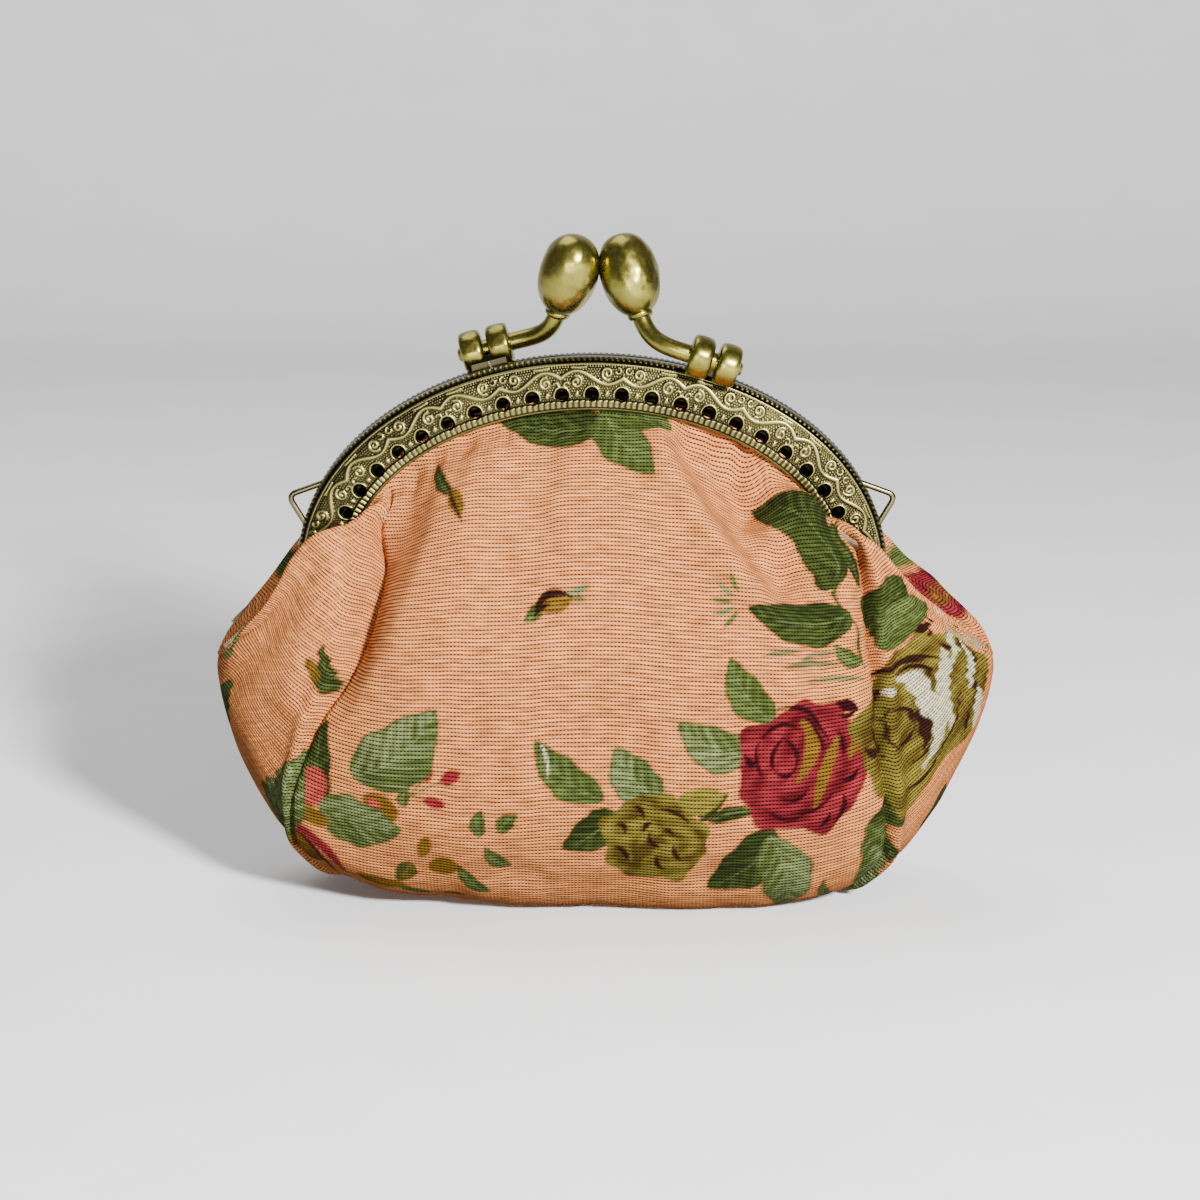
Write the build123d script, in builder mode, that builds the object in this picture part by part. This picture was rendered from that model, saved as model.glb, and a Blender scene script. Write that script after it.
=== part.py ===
"""Kiss-lock coin purse: an arched metal frame in two hinged halves, closed by two crossing
knobs, with a lined and gusseted cloth pouch sewn into the frame's channels.

Millimetres. +Z is up, +X is to the right, and the front of the purse faces -Y. The origin is the
middle of the underside, on the surface that the purse stands on.
"""

import os
from math import asin, cos, degrees, radians, sin, sqrt

from build123d import *

# ---------------------------------------------------------------- driving dimensions
# Arch of the frame: an ellipse about the hinge axis, cut off a little above it.
ARCH_HALF_WIDTH = 42.4
ARCH_HEIGHT = 30.6
HINGE_Z = 49.0
FOOT_LIFT = 2.6

# Section of one frame half, measured inwards from the rim and outwards from the parting plane.
SHEET = 0.5
PARTING_GAP = 0.15
RIM_DEPTH = 2.0
BEVEL = (1.2, 0.7)
FACE_WIDTH = 7.3
FACE_DEPTH = 3.3
INNER_WALL_WIDTH = 5.6

# Sewing holes along the face.
HOLE_COUNT = 23
HOLE_RADIUS = 0.8
HOLE_INSET = 5.2
HOLE_END_SHARE = 0.035

# Hinge ears and rivets.
EAR_RADIUS = 2.2
EAR_GAP = 0.1
EAR_STRIP = (0.3, 2.0)
RIVET_RADIUS = 0.8
RIVET_HEAD_RADIUS = 1.4
RIVET_HEAD_HEIGHT = 0.6
RUNNING_CLEARANCE = 0.05
SEATED_CLEARANCE = 0.02

# Wire loops for a chain.
LOOP_WIRE_RADIUS = 0.45
LOOP_Y = -1.15
LOOP_CORNER_RADIUS = 1.1
LOOP_TOP = (37.0, 61.8)
LOOP_TIP = (43.6, 59.4)
LOOP_BOTTOM = (40.8, 54.6)

# Kiss-lock clasp. Both halves carry the same casting, and the pair stands a little to the right.
CLASP_SHIFT = 1.0
CLASP_X = 15.6
COLLAR_PITCH = 4.0
COLLAR_LENGTH = 3.3
COLLAR_RADIUS = 3.0
COLLAR_ROUND = 1.3
COLLAR_Y = 4.1
COLLAR_LIFT = 2.2
ARM_RADIUS = 1.3
SADDLE_LENGTH = 5.2
SADDLE_SPAN = (0.7, 3.6)
SADDLE_HEIGHT = 1.5
KNOB_RADIUS = 4.1
KNOB_HALF_LENGTH = 6.0
KNOB_X = 4.34
KNOB_Z = 91.0
KNOB_TILT_X = 15.0
KNOB_TILT_Y = 14.0
NECK_RADIUS = 1.75
NECK_LENGTH = 1.2
SPIGOT_RADIUS = 0.9
SPIGOT_LENGTH = 3.0
CLASP_RIVET_RADIUS = 0.5
CLASP_RIVET_HEAD_RADIUS = 0.65
CLASP_RIVET_Y = 1.35

# Pouch: level sections of the outside, as (height, half width, half depth, corner radius).
POUCH_SECTIONS = (
    (0.0, 30.0, 11.5, 9.0),
    (4.5, 41.0, 17.0, 14.0),
    (13.0, 48.0, 20.8, 17.0),
    (25.0, 53.2, 22.0, 18.0),
    (36.0, 56.4, 21.0, 17.0),
    (48.2, 47.0, 14.6, 12.0),
)
CLOTH = 1.2
CLOTH_GAP = 0.06
LINING = 0.6
SEAM_X = 39.0
MOUTH = (33.6, 13.2)
SHOULDER_START = 12.0
HINGE_POCKET_RADIUS = 2.9
HINGE_POCKET_SPAN = (39.6, 44.2)

# Upper pouch: a dome inside each arch, with an edge that is tucked into the channel.
DOME_DEPTH = 13.2
DOME_EDGE_Y = 1.25
DOME_BOTTOM_Z = 48.4
DOME_INSET = 7.55
TUCK_INSETS = (3.75, 7.9)
TUCK_THICKNESS = 0.8

# Paper cord that wedges the cloth in the channel.
CORD_RADIUS = 0.6
CORD_INSET = 3.05
CORD_Y = 1.75

FRONT = -1
REAR = 1


# ---------------------------------------------------------------- helpers
def export(shape, name):
    """Labels a finished piece and writes it to its own file."""
    shape.label = name
    export_step(shape, f"parts/{name}.step")


def on_side(shape, side):
    """The shape itself for the front, or its mirror image in the parting plane for the rear."""
    return shape if side == FRONT else mirror(shape, about=Plane.XZ)


def arch_path(inset=0.0, y=0.0):
    """The arch moved inwards by inset, in the plane at y, from the right foot to the left foot."""
    half_width = ARCH_HALF_WIDTH - inset
    height = ARCH_HEIGHT - inset
    foot_angle = degrees(asin(FOOT_LIFT / height))
    with BuildLine(Plane.XZ.offset(-y)) as line:
        EllipticalCenterArc(
            (0, HINGE_Z), half_width, height, start_angle=foot_angle, arc_size=180 - 2 * foot_angle
        )
    return line.wires()[0]


RIM = arch_path()
FOOT_X = (RIM @ 0).X
FOOT_PLANE = Plane(origin=RIM @ 0, x_dir=Vector(0, 1, 0).cross(RIM % 0), z_dir=RIM % 0)


def rim_point(x):
    """The rim's point at x, and its outward direction there, both in the parting plane."""
    rise = ARCH_HEIGHT * sqrt(1 - (x / ARCH_HALF_WIDTH) ** 2)
    outward = Vector(x / ARCH_HALF_WIDTH**2, 0, rise / ARCH_HEIGHT**2).normalized()
    return Vector(x, 0, HINGE_Z + rise), outward


def wire_along(path, radius):
    """A round wire that follows a path."""
    with BuildPart() as wire:
        with BuildSketch(Plane(origin=path @ 0, z_dir=path % 0)):
            Circle(radius)
        sweep(path=path)
    return wire.part


def disc(centre, axis, radius, height, both=False):
    """A round disc or pin that starts at a centre and runs along an axis."""
    with BuildPart() as pin:
        with BuildSketch(Plane(origin=centre, z_dir=axis)):
            Circle(radius)
        extrude(amount=height, both=both)
    return pin.part


# ---------------------------------------------------------------- frame halves
def channel():
    """The folded sheet of the front half: an inner wall, a rim, a bevel and a sloping face."""
    rim_y = PARTING_GAP + RIM_DEPTH
    with BuildPart() as sheet:
        with BuildSketch(FOOT_PLANE):
            with BuildLine():
                fold = FilletPolyline(
                    (-INNER_WALL_WIDTH, -PARTING_GAP),
                    (0, -PARTING_GAP),
                    (0, -rim_y),
                    (-BEVEL[0], -rim_y - BEVEL[1]),
                    (-FACE_WIDTH, -FACE_DEPTH),
                    radius=0.55,
                )
                offset(fold, amount=SHEET, side=Side.RIGHT)
            make_face()
        sweep(path=RIM)
    return sheet.part


def ear(inner):
    """A round hinge ear at the right foot, on the front side of the parting plane."""
    outside = FOOT_X - (SHEET + EAR_GAP if inner else 0)
    clearance = RUNNING_CLEARANCE if inner else SEATED_CLEARANCE
    strip_width = EAR_STRIP[1] - EAR_STRIP[0]
    strip_y = -sum(EAR_STRIP) / 2
    strip_height = FOOT_LIFT + 0.9
    with BuildPart() as plate:
        with BuildSketch(Plane.YZ.offset(outside)):
            with Locations((0, HINGE_Z)):
                Circle(EAR_RADIUS)
            with Locations((strip_y, HINGE_Z + strip_height / 2)):
                Rectangle(strip_width, strip_height)
            with Locations((0, HINGE_Z)):
                Circle(RIVET_RADIUS + clearance, mode=Mode.SUBTRACT)
        extrude(amount=-SHEET)
        if inner:
            joggle = 2 * SHEET + EAR_GAP - 0.15
            with Locations((FOOT_X - 0.15 - joggle / 2, strip_y, HINGE_Z + strip_height - 0.3)):
                Box(joggle, strip_width - 0.2, SHEET)
    return plate.part


def hole_centres():
    """Places of the sewing holes, spaced evenly along the rim and set in from it."""
    for number in range(HOLE_COUNT):
        share = HOLE_END_SHARE + (1 - 2 * HOLE_END_SHARE) * number / (HOLE_COUNT - 1)
        point, outward = rim_point((RIM @ share).X)
        yield point - outward * HOLE_INSET


def loop_path(side_x):
    """Centreline of one wire loop, from one leg inside the channel to the other."""
    corners = [(side_x * x, LOOP_Y, z) for x, z in (LOOP_TOP, LOOP_TIP, LOOP_BOTTOM)]
    with BuildLine() as line:
        FilletPolyline(*corners, radius=LOOP_CORNER_RADIUS)
    return line.wires()[0]


def frame_half(side, inner_ears):
    """One half of the frame, with its ears, its sewing holes and the bore of its clasp rivet."""
    right_ear = on_side(ear(inner_ears), side)
    rivet_foot, outward = rim_point(CLASP_SHIFT - side * CLASP_X)
    rivet_foot += Vector(0, side * CLASP_RIVET_Y, 0)
    with BuildPart() as half:
        add(on_side(channel(), side))
        add(right_ear)
        add(mirror(right_ear, about=Plane.YZ))
        with BuildSketch(Plane.XZ.offset(-side * (FACE_DEPTH - SHEET / 2))):
            for centre in hole_centres():
                with Locations((centre.X, centre.Z)):
                    Circle(HOLE_RADIUS)
        extrude(amount=1.1, both=True, mode=Mode.SUBTRACT)
        add(
            disc(rivet_foot, outward, CLASP_RIVET_RADIUS + SEATED_CLEARANCE, 1.0, both=True),
            mode=Mode.SUBTRACT,
        )
        if side == FRONT:
            for side_x in (1, -1):
                bore = wire_along(loop_path(side_x), LOOP_WIRE_RADIUS + SEATED_CLEARANCE)
                add(bore, mode=Mode.SUBTRACT)
    return half.part


def hinge_rivet(side_x):
    """A rivet through both ears, with a domed head outside and a flat one inside."""
    head_face = FOOT_X + 0.03
    inner_face = FOOT_X - 2 * SHEET - EAR_GAP - 0.05
    along_x = (1, 0, 0)
    with BuildPart() as rivet:
        add(disc((head_face, 0, HINGE_Z), along_x, RIVET_HEAD_RADIUS, RIVET_HEAD_HEIGHT))
        fillet(rivet.edges().sort_by(Axis.X)[-1], 0.45)
        shank_length = head_face - inner_face + 0.2
        add(disc((inner_face - 0.1, 0, HINGE_Z), along_x, RIVET_RADIUS, shank_length))
        add(disc((inner_face - 0.4, 0, HINGE_Z), along_x, RIVET_HEAD_RADIUS - 0.2, 0.4))
    return rivet.part if side_x > 0 else mirror(rivet.part, about=Plane.YZ)


# ---------------------------------------------------------------- kiss-lock clasp
class Clasp:
    """One half of the clasp, laid out as if on the front; the rear one is turned half round."""

    def __init__(self, side):
        self.side = side
        shift = -side * CLASP_SHIFT
        self.rim, self.outward = rim_point(CLASP_X + shift)
        self.along = Vector(self.outward.Z, 0, -self.outward.X)
        self.collar = self.rim + self.outward * COLLAR_LIFT + Vector(0, -COLLAR_Y, 0)
        self.knob_axis = Vector(
            -sin(radians(KNOB_TILT_X)),
            sin(radians(KNOB_TILT_Y)),
            cos(radians(KNOB_TILT_X)) * cos(radians(KNOB_TILT_Y)),
        ).normalized()
        self.knob_middle = Vector(KNOB_X + shift, 0, KNOB_Z)
        self.knob_foot = self.knob_middle - self.knob_axis * (KNOB_HALF_LENGTH - 0.25)
        self.rivet_foot = self.rim + Vector(0, -CLASP_RIVET_Y, 0)

    def placed(self, shape):
        """The finished piece in its place on the purse."""
        return shape if self.side == FRONT else shape.rotate(Axis.Z, 180)

    def base(self):
        """Two rounded collars on a saddle that sits on the rim, bored for the arm and rivet."""
        collars = [
            fillet_ends(
                disc(
                    self.collar + self.along * COLLAR_PITCH * place,
                    self.along,
                    COLLAR_RADIUS,
                    COLLAR_LENGTH / 2,
                    both=True,
                )
            )
            for place in (-0.5, 0.5)
        ]
        saddle_y = -(SADDLE_SPAN[0] + SADDLE_SPAN[1]) / 2
        saddle_foot = self.rim + self.outward * 0.02 + Vector(0, saddle_y, 0)
        with BuildPart() as base:
            add(collars)
            with BuildSketch(Plane(origin=saddle_foot, x_dir=self.along, z_dir=self.outward)):
                RectangleRounded(SADDLE_LENGTH, SADDLE_SPAN[1] - SADDLE_SPAN[0], 0.6)
            extrude(amount=SADDLE_HEIGHT)
            add(
                disc(self.collar, self.along, ARM_RADIUS + SEATED_CLEARANCE, 12, both=True),
                mode=Mode.SUBTRACT,
            )
            add(
                disc(self.rivet_foot, self.outward, CLASP_RIVET_RADIUS + SEATED_CLEARANCE, 0.9),
                mode=Mode.SUBTRACT,
            )
        return self.placed(base.part)

    def arm(self):
        """A rod through the collars that bends up to a ferrule and a spigot for the knob."""
        reach = (COLLAR_PITCH + COLLAR_LENGTH) / 2
        start = self.collar + self.along * (reach + 0.3)
        leave = self.collar - self.along * (reach + 0.1)
        with BuildLine() as path:
            Line(start, leave)
            Spline(leave, self.knob_foot, tangents=(-self.along, self.knob_axis))
        rod = wire_along(path.wires()[0], ARM_RADIUS)
        seat = self.bead(SEATED_CLEARANCE)
        with BuildPart() as arm:
            add(rod)
            fillet(arm.faces().sort_by(Axis.X)[-1].edges(), 0.5)
            ferrule_foot = self.knob_foot - self.knob_axis * 0.6 * NECK_LENGTH
            add(disc(ferrule_foot, self.knob_axis, NECK_RADIUS, NECK_LENGTH))
            add(seat, mode=Mode.SUBTRACT)
            spigot_foot = self.knob_foot - self.knob_axis * 0.3
            add(disc(spigot_foot, self.knob_axis, SPIGOT_RADIUS, SPIGOT_LENGTH))
        return self.placed(arm.part)

    def bead(self, growth=0.0):
        """The plain oval body of the knob."""
        radius = KNOB_RADIUS + growth
        half_length = KNOB_HALF_LENGTH + growth
        egg = scale(Solid.make_sphere(1.0), by=(radius, radius, half_length))
        return Plane(origin=self.knob_middle, z_dir=self.knob_axis) * egg

    def knob(self):
        """The oval knob, bored for the arm's spigot."""
        bead = self.bead()
        with BuildPart() as knob:
            add(bead)
            bore_foot = self.knob_foot - self.knob_axis
            bore_length = SPIGOT_LENGTH + 0.75
            bore = disc(bore_foot, self.knob_axis, SPIGOT_RADIUS + SEATED_CLEARANCE, bore_length)
            add(bore, mode=Mode.SUBTRACT)
        return self.placed(knob.part)

    def rivet(self):
        """The rivet that holds the saddle to the rim, with its head inside the channel."""
        head = self.rivet_foot - self.outward * (SHEET + 0.45)
        shank = self.rivet_foot - self.outward * (SHEET + 0.1)
        with BuildPart() as rivet:
            add(disc(head, self.outward, CLASP_RIVET_HEAD_RADIUS, 0.4))
            add(disc(shank, self.outward, CLASP_RIVET_RADIUS, SHEET + 0.9))
        return self.placed(rivet.part)


def fillet_ends(shape):
    """Rounds both ends of a disc."""
    return shape.fillet(COLLAR_ROUND, shape.edges().filter_by(GeomType.CIRCLE))


# ---------------------------------------------------------------- pouch
def pouch_body(inset, cap=0.0):
    """The lower pouch as a solid, with its sections moved inwards and its top raised by cap."""
    with BuildPart() as body:
        for number, (height, half_width, half_depth, corner) in enumerate(POUCH_SECTIONS):
            level = height + (inset if number == 0 else 0)
            with BuildSketch(Plane.XY.offset(level)):
                RectangleRounded(
                    2 * (half_width - inset), 2 * (half_depth - inset), corner - inset
                )
        loft(ruled=True)
        if cap:
            extrude(body.faces().sort_by(Axis.Z)[-1], amount=cap)
    return body.part


def pouch_layer(inset, thickness):
    """A skin of the lower pouch, open at the top."""
    return pouch_body(inset) - pouch_body(inset + thickness, cap=1.0)


def block(x_range, y_range, top=HINGE_Z):
    """A tall block that picks one panel out of a layer."""
    with BuildPart() as picker:
        with BuildSketch():
            with Locations(((x_range[0] + x_range[1]) / 2, (y_range[0] + y_range[1]) / 2)):
                Rectangle(x_range[1] - x_range[0], y_range[1] - y_range[0])
        extrude(amount=top)
    return picker.part


def right_shoulder():
    """The top of the right gusset beside the oval mouth, with a hollow for the hinge ears."""
    top_z, half_width, half_depth, corner = POUCH_SECTIONS[-1]
    pocket_length = HINGE_POCKET_SPAN[1] - HINGE_POCKET_SPAN[0]
    pocket_start = (HINGE_POCKET_SPAN[0], 0, HINGE_Z)
    wall_start = (HINGE_POCKET_SPAN[0] - CLOTH, 0, HINGE_Z)
    along_x = (1, 0, 0)
    with BuildPart() as shoulder:
        with BuildSketch(Plane.XY.offset(top_z - CLOTH)):
            plate_depth = 2 * (half_depth - CLOTH - CLOTH_GAP)
            RectangleRounded(2 * half_width - CLOTH, plate_depth, corner)
            Ellipse(*MOUTH, mode=Mode.SUBTRACT)
            split(bisect_by=Plane.YZ.offset(SHOULDER_START), keep=Keep.TOP)
        extrude(amount=CLOTH)
        add(disc(wall_start, along_x, HINGE_POCKET_RADIUS + CLOTH, pocket_length + 2 * CLOTH))
        split(bisect_by=Plane.XY.offset(top_z), keep=Keep.BOTTOM)
        add(disc(pocket_start, along_x, HINGE_POCKET_RADIUS, pocket_length), mode=Mode.SUBTRACT)
    return shoulder.part


def dome_layer(inset, thickness):
    """The upper pouch inside the front arch, down to the hinge level, as one curved skin."""

    def dome(depth):
        return scale(
            Solid.make_sphere(1.0),
            by=(
                ARCH_HALF_WIDTH - DOME_INSET - depth,
                DOME_DEPTH - depth,
                ARCH_HEIGHT - DOME_INSET - depth,
            ),
        )

    skin = Pos(0, -DOME_EDGE_Y, HINGE_Z) * (dome(inset) - dome(inset + thickness))
    keep = Pos(0, -DOME_EDGE_Y - DOME_DEPTH, DOME_BOTTOM_Z + ARCH_HEIGHT) * Box(
        2 * ARCH_HALF_WIDTH, 2 * DOME_DEPTH, 2 * ARCH_HEIGHT
    )
    return skin & keep


def tucked_edge():
    """The strip of cloth inside the channel of the front half."""
    with BuildPart() as strip:
        with BuildSketch(FOOT_PLANE):
            middle = (-sum(TUCK_INSETS) / 2, -DOME_EDGE_Y - TUCK_THICKNESS / 2)
            with Locations(middle):
                Rectangle(TUCK_INSETS[1] - TUCK_INSETS[0], TUCK_THICKNESS)
        sweep(path=RIM)
    return strip.part


def main():
    """Builds every piece and writes it to parts/."""
    os.makedirs("parts", exist_ok=True)

    export(frame_half(FRONT, inner_ears=False), "front_frame")
    export(frame_half(REAR, inner_ears=True), "rear_frame")
    export(hinge_rivet(1), "right_hinge_rivet")
    export(hinge_rivet(-1), "left_hinge_rivet")
    export(wire_along(loop_path(1), LOOP_WIRE_RADIUS), "right_chain_loop")
    export(wire_along(loop_path(-1), LOOP_WIRE_RADIUS), "left_chain_loop")

    for side, name in ((FRONT, "front"), (REAR, "rear")):
        clasp = Clasp(side)
        export(clasp.base(), f"{name}_clasp_base")
        export(clasp.arm(), f"{name}_clasp_arm")
        export(clasp.knob(), f"{name}_clasp_knob")
        export(clasp.rivet(), f"{name}_clasp_rivet")
        cord = wire_along(arch_path(CORD_INSET, side * CORD_Y), CORD_RADIUS)
        export(cord, f"{name}_packing_cord")
        export(on_side(dome_layer(0.0, CLOTH) + tucked_edge(), side), f"{name}_panel_top")
        lining_top = dome_layer(CLOTH + CLOTH_GAP, LINING)
        export(on_side(lining_top, side), f"{name}_lining_top")

    cloth = pouch_layer(0.0, CLOTH)
    lining = pouch_layer(CLOTH + CLOTH_GAP, LINING)
    shoulder = right_shoulder()
    far = 2 * ARCH_HALF_WIDTH
    right_gusset = (cloth & block((SEAM_X, far), (-far, far))) + shoulder
    export(cloth & block((-SEAM_X, SEAM_X), (-far, 0)), "front_panel")
    export(cloth & block((-SEAM_X, SEAM_X), (0, far)), "rear_panel")
    export(right_gusset, "right_gusset")
    export(mirror(right_gusset, about=Plane.YZ), "left_gusset")
    lining_top_z = POUCH_SECTIONS[-1][0] - CLOTH - CLOTH_GAP
    export(lining & block((-far, far), (-far, 0), lining_top_z), "front_lining")
    export(lining & block((-far, far), (0, far), lining_top_z), "rear_lining")


main()
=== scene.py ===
"""Looks of the kiss-lock coin purse: embossed brass frame, clasp, and printed cloth pouch.

Lengths are in millimetres until a mesh is made, in the CAD's own frame: +Z up, -Y the front.
"""

import bpy
import numpy as np
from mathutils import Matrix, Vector


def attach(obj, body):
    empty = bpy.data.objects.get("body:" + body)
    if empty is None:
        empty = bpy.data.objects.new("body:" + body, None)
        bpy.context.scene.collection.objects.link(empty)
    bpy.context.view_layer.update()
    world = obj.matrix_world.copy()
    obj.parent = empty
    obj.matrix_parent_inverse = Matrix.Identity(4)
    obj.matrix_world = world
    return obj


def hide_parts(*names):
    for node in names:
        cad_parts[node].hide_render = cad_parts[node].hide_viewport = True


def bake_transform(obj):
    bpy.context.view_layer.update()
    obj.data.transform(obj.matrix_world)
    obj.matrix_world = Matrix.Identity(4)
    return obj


MM = 0.001

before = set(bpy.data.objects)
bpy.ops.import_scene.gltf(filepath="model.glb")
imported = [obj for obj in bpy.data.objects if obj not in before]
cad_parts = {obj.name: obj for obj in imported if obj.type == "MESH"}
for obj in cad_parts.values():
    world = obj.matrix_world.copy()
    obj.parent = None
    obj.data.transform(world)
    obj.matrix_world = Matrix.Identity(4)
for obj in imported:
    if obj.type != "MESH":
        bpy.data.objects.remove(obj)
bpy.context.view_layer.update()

# ---------------------------------------------------------------- driving dimensions
ARCH_A = 42.4  # half width of the frame's rim
ARCH_B = 30.6  # height of the rim above the hinges
HINGE_Z = 49.0
FOOT_LIFT = 2.6  # the rim stops this high above the hinges
SHEET = 0.5
HOLE_COUNT = 23
HOLE_END_SHARE = 0.035
HOLE_INSET = 5.2
HOLE_RADIUS = 0.75
RELIEF_HEIGHT = 0.20
LIP_DEPTH = 0.12  # dish round each sewing hole
RIB_PITCH = 0.93
BEAD_PITCH = 0.8

WEAVE_PITCH = 0.51
WEAVE_ROW = 0.59
CLOTH_THICKNESS = 1.0
SEAM_ROOM, SEAM_ROOM_WIDTH = 2.8, 3.5  # how far the lining gives way along each side seam

EMBOSS_STEP = 0.11
FRONT_CLOTH_STEP, REAR_CLOTH_STEP = ((0.28, 0.4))
LINING_STEP = 0.9


# ---------------------------------------------------------------- small maths
def smooth(edge_low, edge_high, value):
    """Smoothstep from 0 to 1 between two edges."""
    t = np.clip((value - edge_low) / (edge_high - edge_low), 0, 1)
    return t * t * (3 - 2 * t)


def hermite(knots, values, where):
    """Smooth curve through values at knots, evaluated at where. Values may have more axes."""
    knots = np.asarray(knots, float)
    values = np.asarray(values, float)
    slopes = np.empty_like(values)
    gaps = np.diff(knots)
    shape = (-1,) + (1,) * (values.ndim - 1)
    secants = np.diff(values, axis=0) / gaps.reshape(shape)
    before, after = gaps[:-1].reshape(shape), gaps[1:].reshape(shape)
    slopes[1:-1] = (secants[:-1] * after + secants[1:] * before) / (before + after)
    slopes[0], slopes[-1] = secants[0], secants[-1]
    cell = np.clip(np.searchsorted(knots, where, side="right") - 1, 0, len(knots) - 2)
    gap = gaps[cell].reshape(shape)
    t = ((where - knots[cell]) / gaps[cell]).reshape(shape)
    t2, t3 = t * t, t * t * t
    return (
        (2 * t3 - 3 * t2 + 1) * values[cell]
        + (t3 - 2 * t2 + t) * gap * slopes[cell]
        + (3 * t2 - 2 * t3) * values[cell + 1]
        + (t3 - t2) * gap * slopes[cell + 1]
    )


def lattice_noise(x, y, seed=0):
    """Smooth noise from 0 to 1 on a unit lattice."""
    ix, iy = np.floor(x).astype(np.int64), np.floor(y).astype(np.int64)
    fx, fy = x - ix, y - iy
    fx, fy = fx * fx * (3 - 2 * fx), fy * fy * (3 - 2 * fy)

    def corner(cx, cy):
        mixed = (cx * 374761393 + cy * 668265263 + seed * 144665) & 0x7FFFFFFF
        mixed = ((mixed ^ (mixed >> 13)) * 1274126177) & 0x7FFFFFFF
        return (mixed ^ (mixed >> 16)) % 65536 / 65535.0

    low = corner(ix, iy) * (1 - fx) + corner(ix + 1, iy) * fx
    high = corner(ix, iy + 1) * (1 - fx) + corner(ix + 1, iy + 1) * fx
    return low * (1 - fy) + high * fy


def fractal(x, y, seed=0, octaves=3):
    """Sum of octaves of lattice noise, centred on 0 and within about 1 of it."""
    total, weight = np.zeros(np.broadcast(x, y).shape), 0.0
    for octave in range(octaves):
        share = 0.5**octave
        total += share * (lattice_noise(x * 2**octave, y * 2**octave, seed + octave) - 0.5)
        weight += share
    return 2 * total / weight


# ---------------------------------------------------------------- mesh helpers
def new_mesh(name, points, faces, colours=None, uv=None, flat=False):
    """A mesh object from millimetre points, with optional point colours and texture coordinates."""
    mesh = bpy.data.meshes.new(name)
    mesh.from_pydata((np.asarray(points) * MM).tolist(), [], [list(f) for f in faces])
    mesh.update()
    for layer, values in (colours or {}).items():
        attribute = mesh.attributes.new(layer, "FLOAT_COLOR", "POINT")
        rgba = np.ones((len(points), 4), np.float32)
        rgba[:, : values.shape[1]] = values
        attribute.data.foreach_set("color", rgba.ravel())
    if uv is not None:
        layer = mesh.uv_layers.new(name="UVMap")
        corner_vertex = np.empty(len(mesh.loops), np.int32)
        mesh.loops.foreach_get("vertex_index", corner_vertex)
        layer.data.foreach_set("uv", np.asarray(uv, np.float32)[corner_vertex].ravel())
    mesh.polygons.foreach_set("use_smooth", [not flat] * len(mesh.polygons))
    obj = bpy.data.objects.new(name, mesh)
    bpy.context.scene.collection.objects.link(obj)
    return obj


def grid_faces(rows, columns, wrap_columns=False, wrap_rows=False, flip=False):
    """Quads of a rows x columns point grid, optionally closed on itself."""
    row_count = rows if wrap_rows else rows - 1
    column_count = columns if wrap_columns else columns - 1
    r, c = np.meshgrid(np.arange(row_count), np.arange(column_count), indexing="ij")
    r, c = r.ravel(), c.ravel()
    r2, c2 = (r + 1) % rows, (c + 1) % columns
    quads = [r * columns + c, r * columns + c2, r2 * columns + c2, r2 * columns + c]
    return np.stack(quads[::-1] if flip else quads, axis=1)


def grid_normals(points):
    """Unit normals of a grid of points with shape (rows, columns, 3)."""
    down = np.gradient(points, axis=0)
    across = np.gradient(points, axis=1)
    normal = np.cross(across, down)
    length = np.linalg.norm(normal, axis=2, keepdims=True)
    return normal / np.maximum(length, 1e-9)


def join(name, objects):
    """Joins mesh objects into one."""
    bpy.ops.object.select_all(action="DESELECT")
    for obj in objects:
        obj.select_set(True)
    bpy.context.view_layer.objects.active = objects[0]
    bpy.ops.object.join()
    objects[0].name = name
    return objects[0]


def revolved(name, profile, centre, axis, segments=64, wobble=0.0):
    """A closed body of revolution. profile holds (distance along the axis, radius) pairs."""
    axis = np.asarray(axis, float) / np.linalg.norm(axis)
    side = np.cross(axis, (0.3, 0.9, 0.1))
    side /= np.linalg.norm(side)
    third = np.cross(axis, side)
    profile = np.asarray(profile, float)
    angle = np.linspace(0, 2 * np.pi, segments, endpoint=False)
    ring = np.cos(angle)[:, None] * side + np.sin(angle)[:, None] * third
    dent = 1 + wobble * fractal(
        profile[:, :1] * 0.5 + 9, 3 + 1.6 * np.cos(angle)[None, :] + 3 * np.sin(angle)[None, :], 5
    )
    points = (
        np.asarray(centre, float)
        + profile[:, None, :1] * axis
        + (profile[:, None, 1:] * dent[..., None]) * ring[None]
    )
    faces = grid_faces(len(profile), segments, wrap_columns=True)
    return new_mesh(name, points.reshape(-1, 3), faces)


def tube(name, path, radius, segments=24):
    """A round rod along a list of points, closed at both ends by small domes."""
    path = np.asarray(path, float)
    radius = np.broadcast_to(np.asarray(radius, float), len(path)).copy()
    tangent = np.gradient(path, axis=0)
    tangent /= np.linalg.norm(tangent, axis=1, keepdims=True)
    side = np.cross(tangent[0], (0.2, 0.3, 0.9))
    points = []
    angle = np.linspace(0, 2 * np.pi, segments, endpoint=False)
    for place, along, r in zip(path, tangent, radius):
        side = side - along * side.dot(along)
        side /= np.linalg.norm(side)
        third = np.cross(along, side)
        points.append(place + r * (np.cos(angle)[:, None] * side + np.sin(angle)[:, None] * third))
    points = np.concatenate(points)
    faces = [list(f) for f in grid_faces(len(path), segments, wrap_columns=True)]
    faces.append(list(range(segments))[::-1])
    last = (len(path) - 1) * segments
    faces.append([last + i for i in range(segments)])
    return new_mesh(name, points, faces)


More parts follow.
